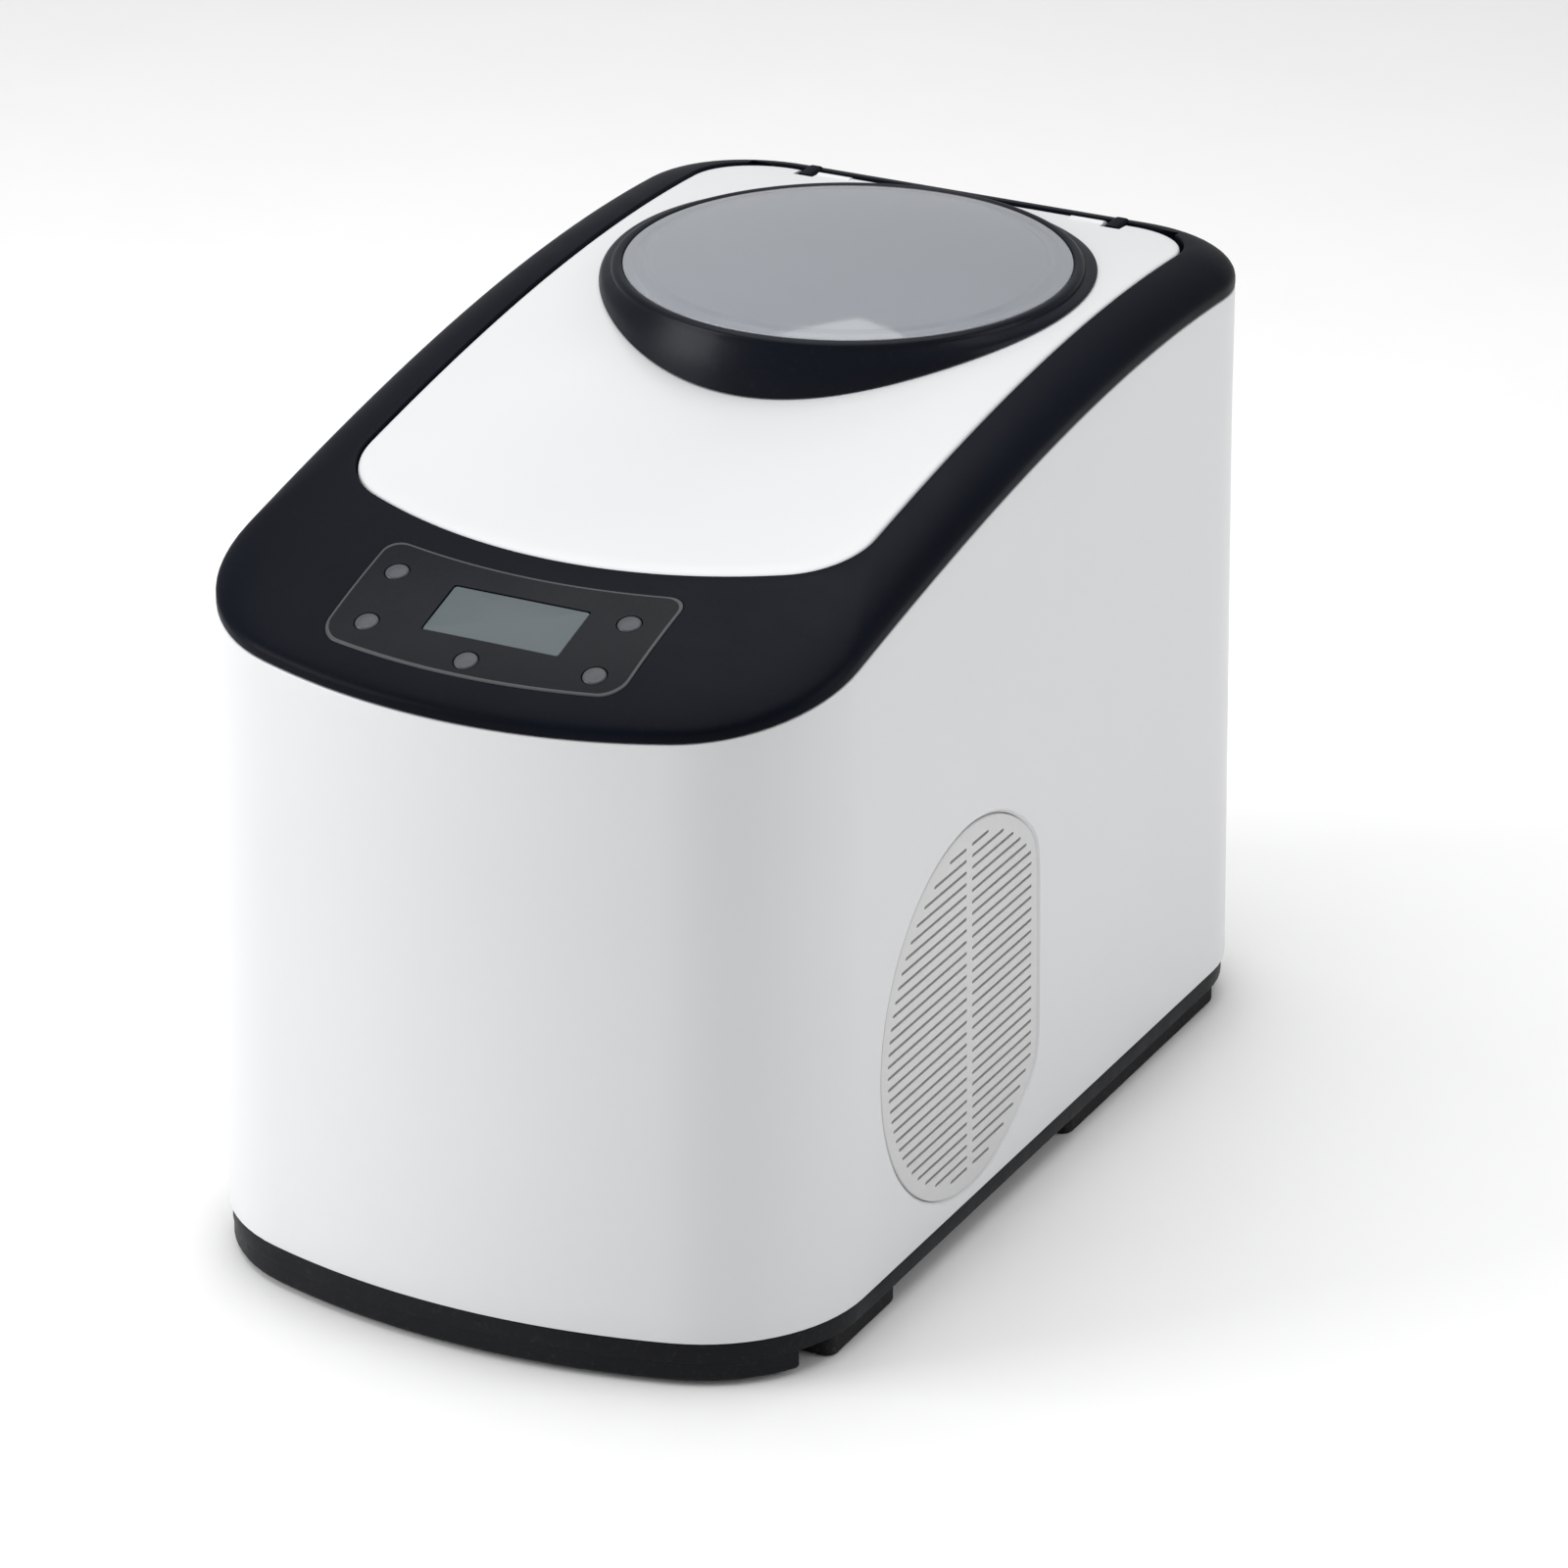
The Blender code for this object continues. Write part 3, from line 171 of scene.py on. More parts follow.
def outline(plan, corners=16, sides=30):
    # plan points and outward normals, anticlockwise from the front centre: a shallow front arc,
    # two corner arcs, two straight sides and a straight back
    half, front, back, arc = plan["half"], plan["front"], plan["back"], plan["arc"]
    rFront, rBack = plan["rFront"], plan["rBack"]
    cornerX = half - rFront
    cornerY = front + arc - np.sqrt((arc - rFront) ** 2 - cornerX ** 2)
    lean = np.arcsin(cornerX / (arc - rFront))
    even = 0.064
    x = np.concatenate([np.linspace(0, even, 26), np.linspace(even, arc * np.sin(lean), 6)[1:-1]])
    stretch = np.stack([x, frontArc(plan, x)], 1)
    stretchOut = (stretch - [0, front + arc]) / arc
    turnA = np.linspace(lean - np.pi / 2, 0, corners)
    outA = np.stack([np.cos(turnA), np.sin(turnA)], 1)
    turnB = np.linspace(0, np.pi / 2, corners)
    outB = np.stack([np.cos(turnB), np.sin(turnB)], 1)
    sideY = np.linspace(cornerY, back - rBack, sides)[1:-1]
    side = np.stack([np.full_like(sideY, half), sideY], 1)
    backX = np.linspace(half - rBack, 0, 14)[1:]
    rear = np.stack([backX, np.full_like(backX, back)], 1)
    right = np.concatenate([stretch, [cornerX, cornerY] + rFront * outA, side,
                            [half - rBack, back - rBack] + rBack * outB, rear])
    out = np.concatenate([stretchOut, outA, np.tile([1.0, 0.0], (len(side), 1)), outB,
                          np.tile([0.0, 1.0], (len(rear), 1))])
    mirror = [-1.0, 1.0]
    return np.concatenate([right, right[-2:0:-1] * mirror]), np.concatenate([out, out[-2:0:-1] * mirror])


def edgeHeight(y):
    # the swoop of the seam: a cubic in the distance from the front
    t = (y - body["front"]) / (body["back"] - body["front"])
    return 0.25 * (0.987 + 0.411 * t - 0.039 * t * t - 0.179 * t ** 3)


def shoulderRise(f):
    # a quarter ellipse from the lip to the lid opening
    return shell["lip"] + shell["shoulder"] * np.sqrt(1 - (1 - f) ** 2)


def draftAt(z):
    return shell["draft"] * np.clip(1 - z / shell["draftTop"], 0, 1)


def panelHeight(x, y):
    outer = frontArc(body, x)
    return edgeHeight(y) + shoulderRise(np.clip((y - outer) / (frontArc(opening, x) - outer), 0, 1))


def panelTurn(x, y):
    # the turn that lays +Z on the collar's normal, keeping X level
    step = 0.004
    slopeX = (panelHeight(x + step, y) - panelHeight(x - step, y)) / (2 * step)
    slopeY = (panelHeight(x, y + step) - panelHeight(x, y - step)) / (2 * step)
    normal = Vector((-slopeX, -slopeY, 1.0)).normalized()
    side = Vector((1.0, 0.0, slopeX)).normalized()
    return Matrix((side, normal.cross(side), normal)).transposed()


def lidHeight(x, y):
    # flush with the collar, less a shallow scoop ahead of the window
    scoop = np.clip(1 - (x / 0.098) ** 2, 0, 1) ** 2 * np.clip(1 - ((y - 0.010) / 0.150) ** 2, 0, 1) ** 2
    return edgeHeight(y) + shell["lip"] + shell["shoulder"] - 0.0004 - 0.010 * scoop


def ringOf(xy, z):
    return np.concatenate([xy, np.broadcast_to(z, xy.shape[:-1])[..., None]], -1)


def spun(profile, centre, segments=96):
    # each (radius, height) point runs round a circle about the vertical axis
    angle = np.linspace(0, 2 * np.pi, segments, endpoint=False)
    profile = np.asarray(profile, float)
    x = centre[0] + profile[:, :1] * np.cos(angle)
    y = centre[1] + profile[:, :1] * np.sin(angle)
    return np.stack([x, y, np.broadcast_to(profile[:, 1:], x.shape)], -1)


def roundedRectangle(halfX, halfY, radius, steps=10):
    quarter = np.arange(4)[:, None]
    angle = np.linspace(0, np.pi / 2, steps + 1)[None] + quarter * np.pi / 2
    sideX = np.array([1, -1, -1, 1])[:, None]
    sideY = np.array([1, 1, -1, -1])[:, None]
    return np.stack([sideX * (halfX - radius) + radius * np.cos(angle),
                     sideY * (halfY - radius) + radius * np.sin(angle)], -1).reshape(-1, 2)


def arcSteps(count):
    return np.linspace(0, np.pi / 2, count)


def nodeGroup(name, inputs, outputs):
    group = bpy.data.node_groups.new(name, "ShaderNodeTree")
    for label, kind, value in inputs:
        socket = group.interface.new_socket(name=label, in_out="INPUT", socket_type="NodeSocket" + kind)
        socket.default_value = value
    for label, kind in outputs:
        group.interface.new_socket(name=label, in_out="OUTPUT", socket_type="NodeSocket" + kind)
    start = group.nodes.new("NodeGroupInput")
    end = group.nodes.new("NodeGroupOutput")
    return group, start, end


def link(tree, source, target):
    tree.links.new(source, target)


def noiseOf(tree, vector, scale, detail=3.0, roughness=0.5):
    noise = tree.nodes.new("ShaderNodeTexNoise")
    noise.inputs["Detail"].default_value = detail
    noise.inputs["Roughness"].default_value = roughness
    if isinstance(scale, (int, float)):
        noise.inputs["Scale"].default_value = scale
    else:
        link(tree, scale, noise.inputs["Scale"])
    link(tree, vector, noise.inputs["Vector"])
    return noise.outputs["Fac"]


def spread(tree, value, low, high, fromLow=0.3, fromHigh=0.7):
    remap = tree.nodes.new("ShaderNodeMapRange")
    remap.inputs["From Min"].default_value = fromLow
    remap.inputs["From Max"].default_value = fromHigh
    for label, end in (("To Min", low), ("To Max", high)):
        if isinstance(end, (int, float)):
            remap.inputs[label].default_value = end
        else:
            link(tree, end, remap.inputs[label])
    link(tree, value, remap.inputs["Value"])
    return remap.outputs["Result"]


def mathOf(tree, operation, a, b):
    step = tree.nodes.new("ShaderNodeMath")
    step.operation = operation
    for slotNumber, value in enumerate((a, b)):
        if isinstance(value, (int, float)):
            step.inputs[slotNumber].default_value = value
        else:
            link(tree, value, step.inputs[slotNumber])
    return step.outputs[0]


def mixColour(tree, factor, a, b):
    mix = tree.nodes.new("ShaderNodeMix")
    mix.data_type = "RGBA"
    for label, value in ((0, factor), (6, a), (7, b)):
        if isinstance(value, (int, float)):
            mix.inputs[label].default_value = value
        elif isinstance(value, tuple):
            mix.inputs[label].default_value = value
        else:
            link(tree, value, mix.inputs[label])
    return mix.outputs[2]


effectOutputs = (("Colour", "Color"), ("Roughness", "Float"), ("Height", "Float"))


def mouldedGroup():
    # moulded plastic: slow shade drift, roughness clouds, fine orange-peel height and sparse dust
    inputs = (("Colour", "Color", (0.5, 0.5, 0.5, 1)), ("Drift", "Color", (0.4, 0.4, 0.4, 1)),
              ("Dust", "Color", (0.6, 0.6, 0.6, 1)), ("Dust Amount", "Float", 0.05),
              ("Rough Low", "Float", 0.2), ("Rough High", "Float", 0.35), ("Grain", "Float", 900.0))
    group, start, end = nodeGroup("moulded", inputs, effectOutputs)
    place = group.nodes.new("ShaderNodeTexCoord").outputs["Object"]
    slow = spread(group, noiseOf(group, place, 9.0, 2.0), 0.0, 1.0)
    colour = mixColour(group, slow, start.outputs["Colour"], start.outputs["Drift"])
    dust = noiseOf(group, place, 420.0, 4.0, 0.7)
    specks = spread(group, dust, 0.0, start.outputs["Dust Amount"], 0.56, 0.72)
    colour = mixColour(group, specks, colour, start.outputs["Dust"])
    link(group, colour, end.inputs["Colour"])
    clouds = noiseOf(group, place, 38.0, 5.0, 0.6)
    roughness = spread(group, clouds, start.outputs["Rough Low"], start.outputs["Rough High"])
    link(group, roughness, end.inputs["Roughness"])
    grain = noiseOf(group, place, start.outputs["Grain"], 2.0)
    peel = noiseOf(group, place, 160.0, 1.0)
    link(group, mathOf(group, "ADD", mathOf(group, "MULTIPLY", grain, 0.5), peel), end.inputs["Height"])
    return group


def brushedGroup():
    # drawn metal: the pattern is stretched along one axis, so it reads as fine lines
    inputs = (("Colour", "Color", (0.6, 0.6, 0.6, 1)), ("Dark", "Color", (0.4, 0.4, 0.4, 1)),
              ("Rough Low", "Float", 0.25), ("Rough High", "Float", 0.45),
              ("Stretch", "Vector", (30.0, 900.0, 900.0)))
    group, start, end = nodeGroup("drawnMetal", inputs, effectOutputs)
    place = group.nodes.new("ShaderNodeTexCoord").outputs["Object"]
    scaled = group.nodes.new("ShaderNodeVectorMath")
    scaled.operation = "MULTIPLY"
    link(group, place, scaled.inputs[0])
    link(group, start.outputs["Stretch"], scaled.inputs[1])
    lines = noiseOf(group, scaled.outputs[0], 1.0, 3.0)
    stains = noiseOf(group, place, 45.0, 4.0)
    both = mathOf(group, "MULTIPLY", spread(group, lines, 0.0, 1.0), spread(group, stains, 0.4, 1.0))
    link(group, mixColour(group, both, start.outputs["Colour"], start.outputs["Dark"]), end.inputs["Colour"])
    link(group, spread(group, both, start.outputs["Rough Low"], start.outputs["Rough High"], 0.0, 1.0),
         end.inputs["Roughness"])
    link(group, lines, end.inputs["Height"])
    return group


def shader(name, group, values, bump, metallic=0.0, coat=0.0, specular=0.5):
    made = bpy.data.materials.new(name)
    made.use_nodes = True
    tree = made.node_tree
    surface = tree.nodes["Principled BSDF"]
    effect = tree.nodes.new("ShaderNodeGroup")
    effect.node_tree = group
    for label, value in values.items():
        effect.inputs[label].default_value = value
    link(tree, effect.outputs["Colour"], surface.inputs["Base Color"])
    link(tree, effect.outputs["Roughness"], surface.inputs["Roughness"])
    raised = tree.nodes.new("ShaderNodeBump")
    raised.inputs["Strength"].default_value = bump[0]
    raised.inputs["Distance"].default_value = bump[1]
    link(tree, effect.outputs["Height"], raised.inputs["Height"])
    link(tree, raised.outputs["Normal"], surface.inputs["Normal"])
    surface.inputs["Metallic"].default_value = metallic
    surface.inputs["Coat Weight"].default_value = coat
    surface.inputs["Coat Roughness"].default_value = 0.08
    surface.inputs["Specular IOR Level"].default_value = specular
    surface.inputs["Specular IOR Level"].default_value = specular
    return made


def grey(value, blue=0.0):
    return (value - blue * 0.5, value - blue * 0.3, value + blue * 0.5, 1.0)


moulded = mouldedGroup()
drawn = brushedGroup()
plastics = dict(
    whiteShell=dict(colour=grey(0.67, 0.016), drift=grey(0.662, 0.020), dust=grey(0.60), amount=0.0,
                    rough=(0.28, 0.34), grain=700, bump=(0.02, 0.0002), coat=0.10, specular=0.30),
    blackCollar=dict(colour=grey(0.0045, 0.004), drift=grey(0.0065, 0.006), dust=grey(0.10), amount=0.02,
                     rough=(0.34, 0.44), grain=800, bump=(0.05, 0.0003), coat=0.0, specular=0.045),
    blackFascia=dict(colour=grey(0.0050, 0.003), drift=grey(0.0065, 0.004), dust=grey(0.12), amount=0.02,
                     rough=(0.20, 0.28), grain=500, bump=(0.02, 0.0003), coat=0.0, specular=0.07),
    blackRing=dict(colour=grey(0.0060, 0.005), drift=grey(0.0085, 0.007), dust=grey(0.12), amount=0.03,
                   rough=(0.26, 0.36), grain=800, bump=(0.05, 0.0004), coat=0.0, specular=0.11),
    blackBase=dict(colour=grey(0.0070, 0.002), drift=grey(0.0100, 0.003), dust=grey(0.14), amount=0.08,
                   rough=(0.45, 0.60), grain=1500, bump=(0.25, 0.0005), coat=0.0, specular=0.12),
    greyGrille=dict(colour=grey(0.62), drift=grey(0.58), dust=grey(0.45), amount=0.12,
                    rough=(0.42, 0.55), grain=1300, bump=(0.15, 0.0004), coat=0.0, specular=0.30),
    trimLine=dict(colour=grey(0.060, 0.006), drift=grey(0.050, 0.006), dust=grey(0.20), amount=0.05,
                  rough=(0.30, 0.42), grain=900, bump=(0.05, 0.0003), coat=0.0, specular=0.20),
    greyButton=dict(colour=grey(0.070, 0.012), drift=grey(0.060, 0.012), dust=grey(0.25), amount=0.08,
                    rough=(0.28, 0.40), grain=1500, bump=(0.12, 0.0003), coat=0.0, specular=0.25),
    darkMoulding=dict(colour=grey(0.040, 0.002), drift=grey(0.050, 0.002), dust=grey(0.25), amount=0.15,
                      rough=(0.45, 0.62), grain=1200, bump=(0.20, 0.0005), coat=0.0),
    footRubber=dict(colour=grey(0.010), drift=grey(0.015), dust=grey(0.16), amount=0.18,
                    rough=(0.75, 0.92), grain=2200, bump=(0.45, 0.0005), coat=0.0, specular=0.15),
    redSilicone=dict(colour=(0.45, 0.10, 0.06, 1), drift=(0.38, 0.08, 0.05, 1), dust=grey(0.45),
                     amount=0.15,
                     rough=(0.50, 0.65), grain=1200, bump=(0.20, 0.0004), coat=0.0),
    whiteCan=dict(colour=grey(0.70), drift=grey(0.66), dust=grey(0.45), amount=0.10,
                  rough=(0.35, 0.45), grain=900, bump=(0.10, 0.0004), coat=0.0),
)
metals = dict(
    drawnSteel=dict(colour=grey(0.58, 0.01), dark=grey(0.44, 0.01), rough=(0.24, 0.42),
                    stretch=(900, 900, 40), bump=0.10),
    castAluminium=dict(colour=grey(0.72), dark=grey(0.58), rough=(0.32, 0.50),
                       stretch=(260, 260, 260), bump=0.15),
    rodSteel=dict(colour=grey(0.55, 0.01), dark=grey(0.36, 0.02), rough=(0.20, 0.36),
                  stretch=(120, 700, 700), bump=0.08),
    windingCopper=dict(colour=(0.66, 0.30, 0.15, 1), dark=(0.34, 0.13, 0.06, 1), rough=(0.25, 0.40),
                       stretch=(60, 60, 2600), bump=0.60),
    panCoating=dict(colour=grey(0.070), dark=grey(0.045), rough=(0.38, 0.55),
                    stretch=(600, 600, 600), bump=0.20),
)


def makeFinishes():
    made = {}
    for name, p in plastics.items():
        values = {"Colour": p["colour"], "Drift": p["drift"], "Dust": p["dust"], "Dust Amount": p["amount"],
                  "Rough Low": p["rough"][0], "Rough High": p["rough"][1], "Grain": p["grain"]}
        made[name] = shader(name, moulded, values, p["bump"], coat=p["coat"], specular=p.get("specular", 0.4))
    for name, p in metals.items():
        values = {"Colour": p["colour"], "Dark": p["dark"], "Rough Low": p["rough"][0],
                  "Rough High": p["rough"][1], "Stretch": p["stretch"]}
        metallic = 0.5 if name == "panCoating" else 1.0
        made[name] = shader(name, drawn, values, (p["bump"], 0.0004), metallic=metallic)
    made["windowGlass"] = glassFinish("windowGlass", (0.66, 0.69, 0.74, 1), 0.04, 0.70)
    made["innerGlass"] = glassFinish("innerGlass", (0.95, 0.97, 0.97, 1), 0.02, 0.95)
    made["displayCover"] = displayFinish()
    made["circuitBoard"] = boardFinish()
    return made


def glassFinish(name, tint, rough, clear):
    # glass or clear plastic: faint smears move the roughness, and what isn't clear is a milky haze
    made = bpy.data.materials.new(name)
    made.use_nodes = True
    tree = made.node_tree
    surface = tree.nodes["Principled BSDF"]
    surface.inputs["Base Color"].default_value = tint
    surface.inputs["Transmission Weight"].default_value = clear
    surface.inputs["IOR"].default_value = 1.46
    place = tree.nodes.new("ShaderNodeTexCoord").outputs["Object"]
    smears = noiseOf(tree, place, 26.0, 4.0, 0.6)
    link(tree, spread(tree, smears, rough, rough + 0.05), surface.inputs["Roughness"])
    return made


def displayFinish():
    # a grey display at rest: a fine cell grid under a satin cover, with slow lighter clouds
    made = bpy.data.materials.new("displayCover")
    made.use_nodes = True
    tree = made.node_tree
    surface = tree.nodes["Principled BSDF"]
    place = tree.nodes.new("ShaderNodeTexCoord").outputs["Object"]
    parts = tree.nodes.new("ShaderNodeSeparateXYZ")
    link(tree, place, parts.inputs[0])
    cell = 0.0011
    lineX = mathOf(tree, "PINGPONG", parts.outputs["X"], cell / 2)
    lineY = mathOf(tree, "PINGPONG", parts.outputs["Y"], cell / 2)
    near = mathOf(tree, "MINIMUM", lineX, lineY)
    grid = spread(tree, near, 1.0, 0.0, 0.00004, 0.00010)
    gridStrength = mathOf(tree, "MULTIPLY", grid, 0.35)
    colour = mixColour(tree, gridStrength, (0.085, 0.105, 0.115, 1), (0.060, 0.072, 0.080, 1))
    clouds = noiseOf(tree, place, 60.0, 2.0)
    colour = mixColour(tree, mathOf(tree, "MULTIPLY", spread(tree, clouds, 0.0, 1.0), 0.25), colour,
                       (0.105, 0.125, 0.132, 1))
    link(tree, colour, surface.inputs["Base Color"])
    link(tree, spread(tree, clouds, 0.26, 0.36), surface.inputs["Roughness"])
    surface.inputs["Specular IOR Level"].default_value = 0.18
    return made


def boardFinish():
    # green solder mask with brighter track lines from a stepped cell pattern
    made = bpy.data.materials.new("circuitBoard")
    made.use_nodes = True
    tree = made.node_tree
    surface = tree.nodes["Principled BSDF"]
    place = tree.nodes.new("ShaderNodeTexCoord").outputs["Object"]
    cells = tree.nodes.new("ShaderNodeTexVoronoi")
    cells.distance = "MANHATTAN"
    cells.inputs["Scale"].default_value = 240.0
    link(tree, place, cells.inputs["Vector"])
    tracks = spread(tree, cells.outputs["Distance"], 0.0, 1.0, 0.35, 0.40)
    colour = mixColour(tree, tracks, (0.020, 0.120, 0.050, 1), (0.050, 0.210, 0.090, 1))
    link(tree, colour, surface.inputs["Base Color"])
    link(tree, spread(tree, tracks, 0.35, 0.50, 0.0, 1.0), surface.inputs["Roughness"])
    return made


def makeHousing():
    # rows run up the outside, over a rounded top edge, down the inside and back round the bottom edge;
    # each height is a share of the way from the bottom to the seam, and each point is the plan outline
    # moved along its normal by the draft less the row's depth into the wall
    plan, out = outline(body)
    bottom = shell["seam"] + shell["gap"]
    edge, wall = 0.0007, shell["wall"]
    a = arcSteps(4)
    climb = np.linspace(0, 1, 26)
    depth = np.concatenate([edge * (1 - np.sin(a)), np.zeros(24), edge * (1 - np.cos(a)),
                            np.full(26, wall)])
    share = np.concatenate([np.zeros(4), climb[1:-1], np.ones(4), climb[::-1]])
    lift = np.concatenate([edge * (1 - np.cos(a)), np.zeros(24), -edge * (1 - np.sin(a)), np.zeros(26)])
    top = edgeHeight(plan[:, 1]) - shell["gap"]
    z = bottom + share[:, None] * (top - bottom) + lift[:, None]
    move = draftAt(z) - depth[:, None]
    xy = plan[None] + out[None] * move[..., None]
    points, faces = skin(np.concatenate([xy, z[..., None]], -1), wrap=True)
    housing = addPiece("housing_shell", points, faces, finishes["whiteShell"], "root", ["housing"])
    helpers = [sideForm(side) for side in (-1, 1)]
    helpers.append(boxForm((0.0306, 0.020, 0.0226), (-0.045, body["back"], 0.060), 0.002))
    carve(housing, "DIFFERENCE", *helpers)


def boxForm(size, centre, radius):
    # a bar along Y with a rounded rectangle for its section
    section = roundedRectangle(size[0] / 2, size[2] / 2, radius, 5)
    rows = [np.stack([section[:, 0], np.full(len(section), y), section[:, 1]], 1)
            for y in (-size[1] / 2, size[1] / 2)]
    points, faces = skin(placed(np.array(rows), centre), capFirst=True, capLast=True)
    return formOf(points, faces)


def rodForm(radius, half, centre):
    # a short round bar along X
    upright = spun([(radius, -half), (radius, half)], (0, 0), 32)
    points, faces = skin(placed(upright[..., [2, 0, 1]], centre), capFirst=True, capLast=True)
    return formOf(points, faces)


grille = dict(y=-0.0545, z=0.096, radius=0.0725, flat=0.0145, rim=0.0055, pitch=0.0046, slot=0.0013,
              inset=0.0004, divider=0.0022, depth=0.006)


def discOutline(radius, grow=0.0):
    # a circle whose rear is cut by a straight line, with the two corners it leaves softened
    angle = np.linspace(0, 2 * np.pi, 240, endpoint=False)
    across, up = np.cos(angle), np.sin(angle)
    limit = radius - grille["flat"] + grow
    power = 26.0
    reach = ((1 / (radius + grow)) ** power + (np.clip(across, 0, None) / limit) ** power) ** (-1 / power)
    return np.stack([across, up], 1) * reach[:, None]


def sidePlace(side, points, depth):
    # local (towards the back, up, out) to the drafted side wall
    lean = np.arctan2(shell["draft"], shell["draftTop"])
    wall = 0.125 + draftAt(grille["z"])
    out = points[..., 2] - depth
    x = wall + out * np.cos(lean) - points[..., 1] * np.sin(lean)
    z = grille["z"] + points[..., 1] * np.cos(lean) + out * np.sin(lean)
    return np.stack([side * x, grille["y"] + points[..., 0], z], -1)


def sideForm(side):
    # the vent's opening in the wall, with a chamfered mouth
    steps = ((-0.0080, 0.0), (-0.0013, 0.0), (0.0002, 0.0015), (0.0080, 0.0093))
    rows = np.array([ringOf(discOutline(grille["radius"], grow), out) for out, grow in steps])
    points, faces = skin(sidePlace(side, rows, 0.0), capFirst=True, capLast=True)
    return formOf(points, faces)


def makeGrilles():
    # a plate with a rounded rim, pierced by stadium slots in two banks beside a central divider
    for side, word in ((-1, "left"), (1, "right")):
        plan = discOutline(grille["radius"], -shell["gap"])
        edge, thick = 0.0006, 0.0024
        a = arcSteps(4)
        shrink = np.concatenate([[1 - 0.0016 / grille["radius"]], [1],
                                 1 - edge * (1 - np.cos(a)) / grille["radius"]])
        height = np.concatenate([[-thick], [-thick + 0.0008], -edge + edge * np.sin(a)])
        rows = np.array([ringOf(plan * s, h) for s, h in zip(shrink, height)])
        points, faces = skin(sidePlace(side, rows, grille["inset"]), capFirst=True, capLast=True)
        plate = addPiece(f"grille_{word}_plate", points, faces, finishes["greyGrille"], "root",
                         [f"grille_{word}"])
        count = int((grille["radius"] - grille["rim"]) / grille["pitch"])
        up = np.arange(-count, count + 1) * grille["pitch"]
        chord = np.sqrt((grille["radius"] - grille["rim"]) ** 2 - (np.abs(up) + grille["slot"] / 2) ** 2)
        rear = np.minimum(chord, grille["radius"] - grille["flat"] - grille["rim"])
        starts = np.concatenate([-chord, np.full_like(up, grille["divider"])])
        ends = np.concatenate([np.full_like(up, -grille["divider"]), rear])
        heights = np.concatenate([up, up])
        keep = ends - starts > 3 * grille["slot"]
        half = grille["slot"] / 2
        turn = np.linspace(-np.pi / 2, np.pi / 2, 7)
        capY = np.concatenate([half * np.cos(turn), -half * np.cos(turn)])
        capZ = np.concatenate([half * np.sin(turn), -half * np.sin(turn)])
        farEnd = np.arange(14) < 7
        allPoints, allFaces, offset = [], [], 0
        for s, e, h in zip(starts[keep], ends[keep], heights[keep]):
            along = np.where(farEnd, e - half, s + half) + capY
            loop = np.stack([along, h + capZ], 1)
            bar = np.array([ringOf(loop, out) for out in (-grille["depth"], grille["depth"])])
            barPoints, barFaces = skin(sidePlace(side, bar, 0.0), capFirst=True, capLast=True)
            allPoints.append(barPoints)
            allFaces += [f + offset for f in barFaces]
            offset += len(barPoints)
        slots = formOf(np.vstack(allPoints), allFaces)
        carve(plate, "DIFFERENCE", slots)


panel = dict(x=-0.002, half=0.0605, front=0.0126, length=0.0540, corner=0.008, lcd=(0.001, -0.1715),
             lcdSize=(0.055, 0.026), lcdCorner=0.0012, holeRadius=0.0048, through=0.015)
buttons = dict(
    button_menu=(-0.0506, -0.1580),
    button_crust=(-0.0476, -0.1850),
    button_timer_up=(0.0444, -0.1610),
    button_timer_down=(0.0454, -0.1885),
    button_start_stop=(-0.0026, -0.1940),
)


def makeCollar():
    # rows: an upright lip, a quarter-ellipse shoulder that sweeps from the body's outline to the lid
    # opening, a rounded inner edge, the inner wall, and the same again 2.8 mm below as the underside
    outer, outerOut = outline(body)
    inner, innerOut = outline(opening)
    edge, thick = 0.0006, 0.0028
    a = arcSteps(26)
    share = 1 - np.cos(a)
    rows = []

    def row(xy, rise):
        rows.append(ringOf(xy, edgeHeight(xy[:, 1]) + rise))
    b = arcSteps(4)
    for t in b:
        row(outer - outerOut * edge * (1 - np.sin(t)), edge * (1 - np.cos(t)))
    row(outer, shell["lip"] * 0.6)
    for f in share[:-1]:
        row(outer + (inner - outer) * f, shoulderRise(f))
    for t in b:
        row(inner + innerOut * edge * (1 - np.sin(t)), shoulderRise(1.0) - edge * (1 - np.cos(t)))
    row(inner, 0.006)
    row(inner, -0.001)
    row(inner + innerOut * 0.0025, -0.001)
    underOuter = outer - outerOut * thick
    underInner = inner + innerOut * 0.0025
    for f in share[::-2]:
        if f > 0.06:
            row(underOuter + (underInner - underOuter) * f, shoulderRise(f) - thick)
    row(underOuter, 0.0)
    points, faces = skin(np.array(rows), wrap=True)
    collar = addPiece("collar_trim", points, faces, finishes["blackCollar"], "root", ["top_collar"])
    # the recess for the fascia, the display's hole, the button holes, and room for the lid's corners
    helpers = [slabForm(shell["gap"], 0.006, -0.0018), lcdForm(0.049, 0.020, panel["through"])]
    helpers += [pillar(spot, panel["holeRadius"], 0.008) for spot in buttons.values()]
    helpers += [rodForm(hinge["relief"], 0.0055, (side * hinge["reliefX"], hinge["y"], hinge["z"]))
                for side in (-1, 1)]
    carve(collar, "DIFFERENCE", *helpers)
    lugs = [boxForm(hinge["lug"], (side * hinge["lugX"], hinge["lugY"], hinge["z"]), 0.0015)
            for side in (-1, 1)]
    carve(collar, "UNION", *lugs)


